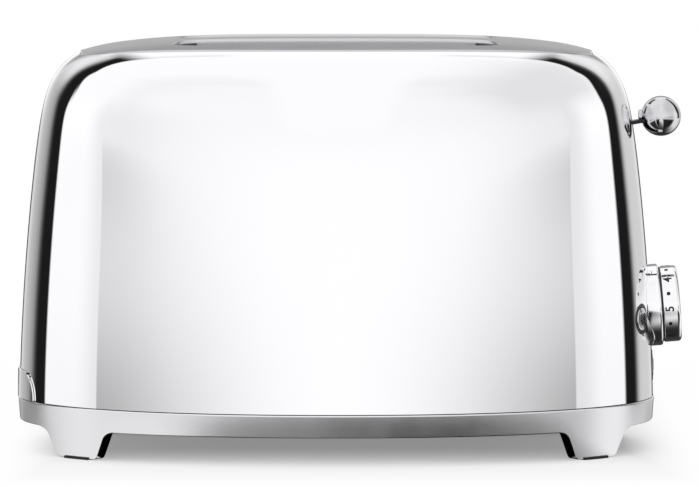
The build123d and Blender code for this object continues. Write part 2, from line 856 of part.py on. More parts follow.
def control_bracket():
    """The plate behind the knob, with a leg that stands on the bottom cover."""
    ends = (-bracket_half_width, bracket_half_width)
    plate = box(bracket_back, bracket_front, *ends, bracket_low, bracket_high)
    plate += box(bracket_back, bracket_front, -16, 16, bracket_low - 32, bracket_low)
    plate -= spindle(timer_neck_radius + 0.2, -40, 0)
    for y, z in button_places().values():
        plate -= spindle(stem_radius + 0.6, -40, 0, y, z)
    return control_frame * plate - box(0, body_length, -50, 50, -50, cover_top)


def standoff_places():
    across = bracket_half_width - 5
    return [(y, z) for y in (-across, across) for z in (bracket_low + 5, bracket_high - 6)]


def control_board():
    across = bracket_half_width - 1
    board = box(board_back, board_front, -across, across, bracket_low, bracket_high - 1)
    for y, z in standoff_places():
        board -= spindle(screw_hole_radius, board_back - 1, board_front + 1, y, z)
    return control_frame * board


def board_standoffs():
    pieces = []
    for y, z in standoff_places():
        column = spindle(3.0, board_front, bracket_back, y, z)
        column -= spindle(screw_radius + 0.02, board_front - 1, board_front + 8, y, z)
        pieces.append(control_frame * column)
    return pieces


def board_screws():
    pieces = []
    for y, z in standoff_places():
        head = spindle(2.8, board_back - screw_head_height, board_back, y, z)
        pieces.append(control_frame * (head + spindle(screw_radius, board_back, board_front + 7, y, z)))
    return pieces


def board_components():
    """The relay, the smoothing capacitor and the control chip, standing on the board."""
    low = bracket_low + 4
    relay = box(board_front, board_front + 12, 12, 24, low, low + 16)
    capacitor = spindle(5.0, board_front, board_front + 12, -18, low + 7)
    chip = box(board_front, board_front + 2, -8, 8, timer_radius + 3, timer_radius + 9)
    return [control_frame * piece for piece in (relay, capacitor, chip)]


def button_switches():
    pieces = []
    half = switch_half
    for y, z in button_places().values():
        body = box(board_front, board_front + switch_height, y - half, y + half, z - half, z + half)
        body -= spindle(stem_radius + 0.3, board_front + 0.6, board_front + 6, y, z)
        pieces.append(control_frame * body)
    return pieces


def button_ring(name):
    """A sleeve from the bracket to just proud of the shell."""
    y, z = button_places()[name]
    tube = spindle(button_ring_radius, bracket_front, 10, y, z)
    tube -= spindle(button_radius + running_gap, bracket_front - 1, 11, y, z)
    return (control_frame * tube) & button_ring_skin


def button_cap(name):
    """A cap in its sleeve, with a stem that reaches into the switch."""
    y, z = button_places()[name]
    back = bracket_front + button_travel + 1.0
    cap = (control_frame * spindle(button_radius, back, 10, y, z)) & button_cap_skin
    stem_end = board_front + 0.6 + button_travel + running_gap
    return cap + control_frame * spindle(stem_radius, stem_end, back + 1, y, z)


def crumb_tray():
    """A shallow pan whose front wall follows the end of the shell."""
    start = -ring_half_length - 5
    end = chamber_end_x - 2
    reach = tray_half_width
    inner = reach - tray_wall
    block = box(start, end, -reach, reach, tray_bottom, tray_top)
    room = box(start, end - tray_wall, -inner, inner, tray_bottom + tray_wall, tray_top + 5)
    return (block & lower_body(0.25)) - (room & lower_body(-1.0))


def tray_handle():
    """The arched plate that closes the tray's door and is pulled to draw the tray out."""
    low = ring_top + running_gap
    corners = [(-handle_half_width, low), (-handle_half_width, handle_top)]
    corners += [(-y, z) for y, z in reversed(corners)]
    face = make_face(Plane.YZ * Polyline(*corners, close=True))
    high = [v for v in face.vertices() if v.Z > handle_top - 0.01]
    arch = extrude(fillet(high, handle_corner), amount=ring_half_length, dir=(-1, 0, 0))
    hollow = body_solid(running_gap, 0, ring_top - 1, lower_body_top + 1)
    return (arch & lower_body(running_gap + handle_sheet)) - hollow


def tray_rails():
    """A rail with a lip on each side of the tray."""
    rails = []
    lip_high = tray_bottom - running_gap
    for side in (-1, 1):
        wall = sorted((side * (tray_half_width + 0.4), side * (tray_half_width + 1.4)))
        lip = sorted((side * (tray_half_width - 4), side * (tray_half_width + 0.4)))
        rail = box(-chamber_reach, chamber_reach, *wall, cover_top, tray_top)
        rails.append(rail + box(-chamber_reach, chamber_reach, *lip, lip_high - sheet, lip_high))
    return rails


# The origin lies under the middle between the tray handle and the lowest front edge of the knob.
tilt = math.radians(control_tilt_degrees)
knob_front = bezel_front + knob_gap + knob_depth
right_end = shell_tip + knob_front * math.cos(tilt) + (knob_radius - knob_edge) * math.sin(tilt)
left_end = -half_length(ring_top) - running_gap - handle_sheet
origin_x = (left_end + right_end) / 2

pieces = {
    "base_frame": base_frame(),
    "foot_pads": foot_pads(),
    "bottom_cover": bottom_cover(),
    "cover_screws": cover_screws(),
    "cord_gland": cord_gland(),
    "cord_cleats": cord_cleats(),
    "terminal_block": terminal_block(),
    "outer_shell": outer_shell(),
    "top_panel": top_panel(),
    "end_plate_left": end_plate(-1),
    "end_plate_right": end_plate(1),
    "chamber_floor": chamber_floor(),
    "reflector_front": reflector(-1),
    "reflector_back": reflector(1),
    "heater_board_front": heater_board(-outer_board_y),
    "heater_board_middle": heater_board(0),
    "heater_board_back": heater_board(outer_board_y),
    "heater_wire_front": heater_wire(-outer_board_y, 1),
    "heater_wire_middle": [heater_wire(0, -1), heater_wire(0, 1)],
    "heater_wire_back": heater_wire(outer_board_y, -1),
    "bread_guide_front_outer": bread_guide(-outer_guide_y),
    "bread_guide_front_inner": bread_guide(-inner_guide_y),
    "bread_guide_back_inner": bread_guide(inner_guide_y),
    "bread_guide_back_outer": bread_guide(outer_guide_y),
    "bread_lifter_front": bread_lifter(-1),
    "bread_lifter_back": bread_lifter(1),
    "carriage": carriage(),
    "guide_rods": guide_rods(),
    "mechanism_base": mechanism_base(),
    "mechanism_top": mechanism_top(),
    "return_spring": return_spring(),
    "armature": armature(),
    "magnet_core": magnet_core(),
    "magnet_coil": magnet_coil(),
    "mains_switch": mains_switch(),
    "lever_arm": lever_arm(),
    "lever_rivets": lever_rivets(),
    "lever_knob": lever_knob(),
    "knob_bezel": knob_bezel(),
    "browning_knob": browning_knob(),
    "timer_shaft": timer_shaft(),
    "timer_unit": timer_unit(),
    "timer_nut": timer_nut(),
    "control_bracket": control_bracket(),
    "control_board": control_board(),
    "board_standoffs": board_standoffs(),
    "board_screws": board_screws(),
    "board_components": board_components(),
    "button_switches": button_switches(),
    "crumb_tray": crumb_tray(),
    "tray_handle": tray_handle(),
    "tray_rails": tray_rails(),
}
for button in button_places():
    pieces["button_ring_" + button] = button_ring(button)
    pieces["button_" + button] = button_cap(button)

for name, shape in pieces.items():
    solids = [solid for item in (shape if isinstance(shape, list) else [shape]) for solid in item.solids()]
    moved = [Pos(-origin_x, 0, 0) * solid for solid in solids]
    export_step(moved[0] if len(moved) == 1 else Compound(children=moved), f"parts/{name}.step")

coil_gap = spring_pitch - 2 * spring_wire_radius
print("origin_x", round(origin_x, 4), "shell_tip", round(shell_tip, 3), "ball_x", round(ball_x, 3))
print("lever travel", round(lever_travel, 3), "spring gap", round(coil_gap, 3), "nodes", len(pieces))
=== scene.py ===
"""An oval two-slice toaster with a mirror-bright shell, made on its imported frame."""

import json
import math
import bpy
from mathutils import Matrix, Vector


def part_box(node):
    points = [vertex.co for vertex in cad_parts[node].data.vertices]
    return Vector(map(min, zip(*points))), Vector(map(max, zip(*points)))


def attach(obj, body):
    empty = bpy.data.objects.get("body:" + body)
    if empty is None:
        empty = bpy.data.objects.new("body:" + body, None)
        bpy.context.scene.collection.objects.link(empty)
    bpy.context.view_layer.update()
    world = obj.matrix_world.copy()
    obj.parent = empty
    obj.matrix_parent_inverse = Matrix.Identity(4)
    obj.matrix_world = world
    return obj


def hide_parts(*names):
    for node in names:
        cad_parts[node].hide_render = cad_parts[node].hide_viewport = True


bl_info = {
    "name": "Oval toaster",
    "version": (1, 0, 0),
    "blender": (4, 5, 0),
    "location": "3D View > Sidebar > Toaster",
    "description": "Builds the pieces, finishes and studio of an oval two-slice toaster",
    "category": "Add Mesh",
}

from contextlib import contextmanager
from functools import partial

import bpy
from bpy.props import FloatProperty, FloatVectorProperty, PointerProperty
from mathutils import Vector

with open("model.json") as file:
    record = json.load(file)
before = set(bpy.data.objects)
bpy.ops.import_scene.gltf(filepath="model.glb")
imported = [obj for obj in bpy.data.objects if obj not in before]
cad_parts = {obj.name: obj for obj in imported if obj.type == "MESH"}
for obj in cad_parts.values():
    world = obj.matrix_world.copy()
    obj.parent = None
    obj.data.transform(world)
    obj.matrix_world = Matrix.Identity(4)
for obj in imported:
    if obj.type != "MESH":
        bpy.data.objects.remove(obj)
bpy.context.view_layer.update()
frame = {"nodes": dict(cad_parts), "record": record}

# Shapes are worked out in millimetres from the middle of the body, and placed in metres
MM = 0.001
BODY_X = sum(corner.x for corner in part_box("base_frame")) / 2 / MM

# Faces that meet at more than this keep a hard edge
SHARP_ANGLE = math.radians(35)
# The step over which a surface's slope is read
PROBE = 0.01

# The shell's end and side: their reach, their lean, their shoulder and their rim. Its outline
# grows squarer from the foot to the rim, and its rows stand closer towards the rim
END_REACH = 155.2
END_LEAN = 4.1
END_SHOULDER = 15.0
END_SHOULDER_REACH = 9.23
SIDE_REACH = 97.2
SIDE_LEAN = 3.0
SIDE_SHOULDER = 25.2
SIDE_SHOULDER_REACH = 13.0
END_RIM = 193.1
SIDE_RIM = 197.1
FOOT_SQUARENESS = 2.2
RIM_SQUARENESS = 3.0
SHELL_FOOT = 25.3
SHELL_COLUMNS = 480
SHELL_ROWS = 72
ROW_CROWDING = 1.8

# The roll at its top edge: its slope where it starts, its rows and how far its end hangs
ROLL_SLOPE = math.radians(60.6)
ROLL_ROWS = 6
ROLL_TAIL = 2.5

# What counts as the shell's face: how near to it a corner lies, and up to which height
SHELL_NEAR = 0.0012
SHELL_FACE_TOP = 199.0

# The top panel, which drops towards its ends and sides, its slots and their collars
PANEL_HALF_LENGTH = 124.61
PANEL_HALF_DEPTH = 60.05
PANEL_TOP = 199.9
PANEL_DROP_END = 6.8
PANEL_DROP_SIDE = 2.8
PANEL_SKIRT = 4.0
PANEL_GAP = 0.3
PANEL_EDGE = 1.2
PANEL_EDGE_ROWS = 5
PANEL_ROWS = 34
PANEL_COLUMNS = 320
SLOT_HALF_LENGTH = 78.5
SLOT_HALF_WIDTH = 16.0
SLOT_CORNER = 12.0
SLOT_CORNER_STEPS = 12
SLOT_SIDE_STEPS = (24, 4, 24, 4)
SLOT_MIDDLE = 25.6
SLOT_CUTTER_FOOT = 180.0
SLOT_CUTTER_HEIGHT = 30.0
COLLAR_FOOT = 188.9
COLLAR_END = 65.5
COLLAR_END_DEPTH = 1.8
COLLAR_WALL = 0.8
COLLAR_BEND_ROWS = 8
COLLAR_DROP_ROWS = 3

# The base ring, the ledge inside it, its feet and the screws of the bottom cover. The ring's
# columns stand closer at the feet
RING_OVAL = (155.5, 97.5, FOOT_SQUARENESS)
RING_TOP = 25.0
RING_BOTTOM = 14.0
RING_WALL = 6.5
RING_EDGE = 0.8
RING_INNER_EDGE = 0.4
RING_TOP_STEP = 3.0
RING_COLUMNS = 600
LEDGE = 4.0
LEDGE_SHEET = 1.0
FOOT_MIDDLE = 126.3
FOOT_HALF_WIDTH = 9.8
FOOT_SPREAD = 5.0
FOOT_WALL = 9.0
FOOT_BOTTOM = 0.4
FOOT_CORNER = 2.0
FOOT_FILLET = 6.0
FOOT_TOE = 0.5
FOOT_HEEL = 0.8
FOOT_BLEND = 3.0
FOOT_LINE_END = 60.0
FOOT_REACH = 19.0
FOOT_CROWDING = 7.0
SCREW_HEAD_FOOT = 13.45
SCREW_HEAD_RADIUS = 3.0
SCREW_SHANK_RADIUS = 1.5
SCREW_SHANK_TOP = 18.2
DRIVER_SLOT = (4.4, 0.8, 0.6)

# The knob, its bezel and the buttons stand on an axis that leans with the end of the shell, and
# are measured along it from the shell's face
CONTROL_TILT = math.radians(4.4)
CONTROL_MIDDLE = Vector((153.259, 0, 68.8))
AXIS = Vector((math.cos(CONTROL_TILT), 0, math.sin(CONTROL_TILT)))
RISE = Vector((-math.sin(CONTROL_TILT), 0, math.cos(CONTROL_TILT)))
TOWARDS_VIEWER = Vector((0, -1, 0))
BEZEL_FOOT = -5.0
BEZEL_FRONT = 5.2
BEZEL_SEAT = 3.2
BEZEL_WALL = 3.0
BEZEL_HOLE = 7.0
KNOB_BACK = (5.25, 6.4)
KNOB_SIDE = (6.1, 14.4)
KNOB_DISH = 13.8
NUMBERS = range(1, 7)
NUMBER_STEP = 47.0
NUMBER_TURN = -1.0
NUMBER_MIDDLE = 9.0
NUMBER_WEIGHT = 0.02
DOT_HEIGHT = 1.9
INK_STAND = 0.01
INK_DEPTH = 0.1

# The buttons by their rise and their place towards the viewer, and the lines of their icons
BUTTONS = {"reheat": (-3.77, 29.06), "defrost": (-3.77, -29.06), "cancel": (-29.3, 0.0)}
BUTTON_FOOT = -2.5
BUTTON_RING = (0.3, 1.9)
BUTTON_RING_FRONT = 0.25
ICON_STAND = 0.67
ICON_LINE = 0.5
ICON_DEPTH = 0.12
ICON_STEPS = 20

# What is cut in the shell: the lever's slot, the tray's door and the round holes, each with some
# room round its piece
LEVER_SLOT_FOOT = 106.3
LEVER_SLOT_TOP = 161.8
LEVER_SLOT_HALF_WIDTH = 5.6
LEVER_SLOT_X = 145.0
TRAY_DOOR_HALF_WIDTH = 33.0
TRAY_DOOR_FOOT = 26.6
TRAY_DOOR_TOP = 37.4
TRAY_DOOR_CORNER = 1.5
TRAY_DOOR_X = -152.0
BEZEL_ROOM = 0.15
BUTTON_ROOM = 2.0
HOLE_ALONG = -4.0
HOLE_DEPTH = 40.0
SLOT_DEPTH = 60.0

# The lever's ball and the tray's handle
BALL_COLLAR = 3.1
BALL_ROWS = 64
HANDLE_HALF_WIDTH = 37.0
HANDLE_FOOT = 25.3
HANDLE_TOP = 39.0
HANDLE_CORNER = 13.0
HANDLE_REACH = 155.45
HANDLE_STAND = 1.0
HANDLE_SHEET = 0.7
HANDLE_EDGE = 0.22

# A black card on the floor in front, which only metal shows as a painted dark reflection, by its
# middle and its reach to the side and ahead
CARD_MIDDLE = (45.0, -170.0, 1.0)
CARD_REACH = (150.0, 150.0)
CARD_FEATHER = [(0.0, 0.0), (0.06, 0.2), (0.22, 0.5), (0.4, 0.68), (0.6, 0.82), (0.75, 0.92),
                (1.0, 0.94)]

# A black block in the dark under the toaster, which only metal shows, to paint shade into the
# reflections on the inner sides of the feet: by its reach to the side and ahead, foot and top
BLOCK_REACH = (112.5, 92.5)
BLOCK_FOOT = 0.2
BLOCK_TOP = 4.0

# The floor's fibres in a metre, and how strongly it glows to the camera, a painted light that
# lifts the toaster's shadow: ahead of the toaster to behind it between two places in metres, and
# beside it from one place to another, from and to
FLOOR_FIBRES = 900.0
PAINTED_LIGHT_ALONG = (-0.3, 0.5)
PAINTED_LIGHT_BESIDE = (0.115, 0.168, 0.0, 0.97)
FLOOR_PAINTED_LIGHT = [(0.0, 1.0), (0.155, 1.0), (0.1825, 0.91), (0.211, 0.76), (0.239, 0.67),
              (0.2675, 0.66), (0.296, 0.46), (0.325, 0.34), (0.353, 0.27), (0.41, 0.26),
              (0.45, 0.21), (0.5, 0.2), (0.62, 0.5), (0.8, 0.97), (1.0, 1.0)]

# The studio's walls as screen greys, by the angle in degrees from straight in front: to the left
# and to the right, low down and high up. The two black strips stand at 109 to 121 degrees
WALLS_LOW = (
    [(0, 255), (12, 254), (24, 250), (36, 245), (47, 239), (56, 236), (66, 237), (71, 239),
     (74, 245), (78, 251), (83, 255), (109.5, 255), (111.2, 27), (121, 27), (123, 30), (126, 60),
     (129, 105), (133, 150), (140, 174), (150, 190), (160, 218), (170, 240), (180, 248)],
    [(0, 255), (12, 254), (24, 251), (36, 245), (47, 240), (56, 237), (66, 235), (69, 231),
     (73, 234), (76, 238), (80, 246), (84, 252), (88, 255), (107, 255), (109.2, 27), (120.5, 27),
     (122.5, 60), (124, 100), (127, 165), (130, 198), (134, 207), (150, 209), (160, 226),
     (170, 240), (180, 248)])
WALLS_HIGH = (
    [(0, 253), (50, 248), (60, 243), (75, 252), (106.5, 253), (108.5, 26), (118, 26), (122, 60),
     (126, 150), (130, 210), (136, 232), (180, 238)],
    [(0, 253), (40, 242), (52, 226), (80, 226), (98, 230), (106.5, 240), (108.5, 26), (117, 30),
     (120, 60), (123, 120), (127, 215), (134, 235), (180, 241)])

# The strength of the floor that the metal shows, by degrees round from straight in front
FLOOR_ROUND = [(-180, 0.05), (-152, 0.05), (-132, 0.4), (-110, 0.6), (-94, 0.8), (-83, 0.92),
               (-44, 0.94), (-20, 0.9), (60, 0.9), (75, 0.95), (90, 1.0), (105, 1.0), (125, 0.85),
               (140, 0.7), (155, 0.05), (180, 0.05)]

# The strength of the whole room, of its bare ceiling and of what is black
ROOM_STRENGTH = 1.05
CEILING_STRENGTH = 0.98
BLACK_STRENGTH = 0.02

# The camera's sensor and lens in millimetres, and its shift to the side and up
CAMERA_SENSOR = 36.0
CAMERA_LENS = 370.1
CAMERA_SHIFT = (0.01896, -0.0029)


def linear(code):
    """The linear colour of an sRGB hex code."""
    parts = [int(code[i:i + 2], 16) / 255 for i in (0, 2, 4)]
    return tuple(p / 12.92 if p <= 0.04045 else ((p + 0.055) / 1.055) ** 2.4 for p in parts)


def grey(level):
    """The linear strength of a grey from 0 to 255 as it shows on a screen."""
    return linear(f"{round(level):02X}" * 3)[0]


def length(name, description, metres):
    return FloatProperty(name=name, description=description, default=metres, unit="LENGTH")


def angle(name, description, degrees):
    return FloatProperty(
        name=name, description=description, default=math.radians(degrees), subtype="ANGLE")


def colour(name, description, code):
    return FloatVectorProperty(
        name=name, description=description, default=linear(code), subtype="COLOR")


class ToasterSizes(bpy.types.PropertyGroup):
    """Sizes of the pressed and turned pieces."""

    shell_sheet: length("Shell sheet", "Thickness of the pressed shell", 0.7 * MM)
    rim_roll: length("Rim roll", "Radius of the roll at the shell's top edge", 0.9 * MM)
    panel_sheet: length("Panel sheet", "Thickness of the top panel", 1.2 * MM)
    slot_flare: length("Slot flare", "Radius at the mouth of the bread slots", 1.5 * MM)
    ring_draft: angle("Ring draft", "Lean of the cast ring's outer wall", 4.2)
    knob_radius: length("Knob radius", "Radius of the browning knob", 18.6 * MM)
    bezel_radius: length("Bezel radius", "Radius of the ring behind the knob", 20.0 * MM)
    digit_height: length("Digit height", "Height of the knob's numbers", 4.3 * MM)
    ball_radius: length("Ball radius", "Radius of the lever's ball", 9.8 * MM)
    button_radius: length("Button radius", "Radius of the button caps", 5.6 * MM)


class ToasterColours(bpy.types.PropertyGroup):
    """Colours of the finishes that show."""

    plating: colour("Plating", "Nickel-chrome plating", "FAFAFC")
    satin_sheet: colour("Satin sheet", "Satin stainless top panel", "D6D6D8")
    casting: colour("Casting", "Satin die-cast base ring", "EEEEF0")
    ink: colour("Ink", "Printed numbers and icons", "141416")


class ToasterStudio(bpy.types.PropertyGroup):
    """Where the camera stands and how far the floor reaches."""

    camera_distance: length("Camera distance", "From the middle of the toaster", 3.5)
    camera_height: length("Camera height", "Above the floor", 0.4)
    camera_dip: angle("Camera dip", "Angle that the camera looks down", 4.9)
    floor_radius: length("Floor radius", "Reach of the pale floor", 3.0)


# Outlines and surfaces


def at(x, y, z):
    """A point given in millimetres from the middle of the body, in the frame's metres."""
    return Vector(((BODY_X + x) * MM, y * MM, z * MM))


def from_middle(spot):
    """The millimetres from the middle of the body of a point in the frame's metres."""
    return spot.x / MM - BODY_X, spot.y / MM, spot.z / MM


def circle(turn, radius=1.0):
    """The two sides of a point on a circle, by its turn."""
    return radius * math.cos(turn), radius * math.sin(turn)


def fill(x, y, half_x, half_y, power):
    """How far a point fills an oval: one on its line, less inside it and more outside."""
    return abs(x / half_x) ** power + abs(y / half_y) ** power


def outline(half_x, half_y, power, turn):
    """A point of an oval whose squareness is given by its power, and the way out of it there."""
    cos, sin = circle(turn)
    x = half_x * math.copysign(abs(cos) ** (2 / power), cos)
    y = half_y * math.copysign(abs(sin) ** (2 / power), sin)
    out = Vector((math.copysign(abs(x / half_x) ** (power - 1), x) / half_x,
                  math.copysign(abs(y / half_y) ** (power - 1), y) / half_y))
    return Vector((x, y)), out.normalized()


def even_turns(half_x, half_y, power, columns, weight=lambda x, y: 1.0):
    """Turns round an oval that stand evenly along it, or closer where the weight is more."""
    fine, quarter = 3000, columns // 4
    lengths, before = [0.0], Vector((half_x, 0))
    for i in range(1, fine + 1):
        point = outline(half_x, half_y, power, math.pi / 2 * i / fine)[0]
        lengths.append(lengths[-1] + (point - before).length * weight(*point))
        before = point
    first, i = [], 0
    for step in range(quarter):
        goal = lengths[-1] * step / quarter
        while lengths[i + 1] < goal:
            i += 1
        part = (goal - lengths[i]) / (lengths[i + 1] - lengths[i])
        first.append(math.pi / 2 * (i + part) / fine)
    first.append(math.pi / 2)
    second = [math.pi - turn for turn in reversed(first)]
    upper = first[:-1] + second[:-1]
    return upper + [turn + math.pi for turn in upper]


def shell_oval(z):
    """The shell's half length, half depth and squareness at a height."""
    lean = (z / 100) ** 2
    end = END_SHOULDER * math.exp((z - END_RIM) / END_SHOULDER_REACH)
    side = SIDE_SHOULDER * math.exp((z - SIDE_RIM) / SIDE_SHOULDER_REACH)
    power = FOOT_SQUARENESS + (RIM_SQUARENESS - FOOT_SQUARENESS) * (z / END_RIM) ** 5
    return END_REACH - END_LEAN * lean - end, SIDE_REACH - SIDE_LEAN * lean - side, power


def beyond_shell(x, y, z):
    """Less than nought inside the shell's outer face, more outside."""
    return fill(x, y, *shell_oval(z)) - 1


def way_out_of_shell(x, y, z):
    return Vector((
        beyond_shell(x + PROBE, y, z) - beyond_shell(x - PROBE, y, z),
        beyond_shell(x, y + PROBE, z) - beyond_shell(x, y - PROBE, z),
        beyond_shell(x, y, z + PROBE) - beyond_shell(x, y, z - PROBE))).normalized()


def panel_top(x, y):
    return (PANEL_TOP - PANEL_DROP_END * abs(x / PANEL_HALF_LENGTH) ** 4
            - PANEL_DROP_SIDE * abs(y / PANEL_HALF_DEPTH) ** 3.5)


def way_out_of_panel(x, y):
    return Vector((
        panel_top(x - PROBE, y) - panel_top(x + PROBE, y),
        panel_top(x, y - PROBE) - panel_top(x, y + PROBE),
        2 * PROBE)).normalized()


def between(low, high, passes):
    """The value where passes turns from false to true, by halving."""
    for _ in range(40):
        middle = (low + high) / 2
        if passes(middle):
            high = middle
        else:
            low = middle
    return (low + high) / 2


def rounded(corners, steps=5):
    """Points along a line of corners (a, b, radius), with an arc at each that has a radius."""
    points = []
    for i, (a, b, radius) in enumerate(corners):
        here = Vector((a, b))
        if not radius or i in (0, len(corners) - 1):
            points.append(here)
            continue
        back = (Vector(corners[i - 1][:2]) - here).normalized()
        on = (Vector(corners[i + 1][:2]) - here).normalized()
        half = back.angle(on) / 2
        middle = here + (back + on).normalized() * radius / math.sin(half)
        arm = here + back * radius / math.tan(half) - middle
        way = 1 if back.x * on.y - back.y * on.x < 0 else -1
        for step in range(steps + 1):
            cos, sin = circle(way * (math.pi - 2 * half) * step / steps)
            points.append(middle + Vector((arm.x * cos - arm.y * sin, arm.x * sin + arm.y * cos)))
    return points


def control_spot(rise, across, along):
    """A place by the knob's axis: up the end, towards the viewer, and out along the axis."""
    return CONTROL_MIDDLE + RISE * rise + TOWARDS_VIEWER * across + AXIS * along


def on_control(rise, across, along):
    return at(*control_spot(rise, across, along))


def skin_along(rise, across):
    """How far along the control axis the shell's face lies, at a place on its end."""
    return between(-30, 5, lambda along: beyond_shell(*control_spot(rise, across, along)) > 0)


# Modelling steps


def select_nothing():
    if bpy.context.mode != "OBJECT":
        bpy.ops.object.mode_set(mode="OBJECT")
    bpy.ops.object.select_all(action="DESELECT")


def pick(piece):
    select_nothing()
    piece.select_set(True)
    bpy.context.view_layer.objects.active = piece


def name_piece(name):
    piece = bpy.context.object
    piece.name = name
    piece.data.name = name
    return piece


def add_primitive(name, primitive, **settings):
    """Adds a primitive with nothing else selected, and names it."""
    select_nothing()
    primitive(**settings)
    return name_piece(name)


def apply_place():
    bpy.ops.object.transform_apply(location=True, rotation=True, scale=True)


@contextmanager
def edit_mode(piece):
    """Edit mode on one piece, with all of it selected at the start."""
    pick(piece)
    bpy.ops.object.mode_set(mode="EDIT")
    bpy.ops.mesh.select_all(action="SELECT")
    yield
    bpy.ops.object.mode_set(mode="OBJECT")


def use_modifier(piece, kind, **settings):
    pick(piece)
    modifier = piece.modifiers.new(kind.title(), kind)
    for name, value in settings.items():
        setattr(modifier, name, value)
    bpy.ops.object.modifier_apply(modifier=modifier.name)


def weld(piece, distance=0.002 * MM):
    """Merges vertices that lie on each other, which closes seams and poles."""
    with edit_mode(piece):
        bpy.ops.mesh.remove_doubles(threshold=distance)


def tube(name, columns, rows, place, ends="NOTHING"):
    """A tube of columns and rows, with each vertex at the place of its column and row."""
    piece = add_primitive(name, bpy.ops.mesh.primitive_cylinder_add, vertices=columns, radius=1,
                          depth=2, end_fill_type=ends)
    if rows > 1:
        with edit_mode(piece):
            bpy.ops.mesh.select_mode(type="EDGE")
            bpy.ops.mesh.select_all(action="DESELECT")
        heights = [vertex.co.z for vertex in piece.data.vertices]
        for edge in piece.data.edges:
            edge.select = abs(heights[edge.vertices[0]] - heights[edge.vertices[1]]) > 1
        bpy.ops.object.mode_set(mode="EDIT")
        bpy.ops.mesh.subdivide(number_cuts=rows - 1)
        bpy.ops.object.mode_set(mode="OBJECT")
    for vertex in piece.data.vertices:
        x, y, z = vertex.co
        column = round(math.atan2(y, x) / math.tau * columns) % columns
        vertex.co = place(column, round((z + 1) / 2 * rows))
    piece.data.update()
    return piece


def smooth(piece):
    """Smooth shading that keeps flat faces flat between their rounded edges."""
    pick(piece)
    bpy.ops.object.shade_smooth()
    use_modifier(piece, "WEIGHTED_NORMAL", keep_sharp=False, weight=80)


def smooth_by_angle(piece):
    pick(piece)
    bpy.ops.object.shade_smooth_by_angle(angle=SHARP_ANGLE)


def turn_piece(name, profile, columns, place):
    """A turned piece: a profile of (radius, along) points, placed by radius, turn and along."""
    piece = tube(name, columns, len(profile) - 1, lambda column, row: place(
        profile[row][0], math.tau * column / columns, profile[row][1]))
    weld(piece)
    smooth(piece)
    return piece


def cut_away(piece, cutters):
    """Cuts the cutters out of a piece one by one, and removes them."""
    for cutter in cutters:
        use_modifier(piece, "BOOLEAN", operation="DIFFERENCE", solver="EXACT", object=cutter)
        bpy.data.objects.remove(cutter)


def shade_from_surface(piece, way_out):
    """Gives corners on a known surface its own direction, so that reflections run clean."""
    mesh = piece.data
    known = [way_out(vertex.co) for vertex in mesh.vertices]
    shading = [Vector(corner.vector) for corner in mesh.corner_normals]
    for face in mesh.polygons:
        for corner in face.loop_indices:
            true = known[mesh.loops[corner].vertex_index]
            if true is not None and true.dot(face.normal) > 0.75:
                shading[corner] = true
    mesh.normals_split_custom_set(shading)


def hand_over(piece, body, slot, *nodes, look=None):
    """Gives a piece the finish of its slot, or the look given instead, hangs it on the body it
    rides on, and hides the nodes it stands for.
    """
    piece.data.materials.clear()
    piece.data.materials.append(finish(look or slot))
    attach(piece, body)
    if nodes:
        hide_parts(*nodes)


def join_pieces(name, pieces):
    pick(pieces[0])
    for piece in pieces:
        piece.select_set(True)
    bpy.ops.object.join()
    return name_piece(name)


# Finishes. Each has its material's name; two sRGB tones, or a colour of the sidebar with the two
# shares of it; the roughness from and to; whether it is metal; in millimetres the patches over
# which these drift, the width of its grain and the grain's depth; and how the grain is drawn out

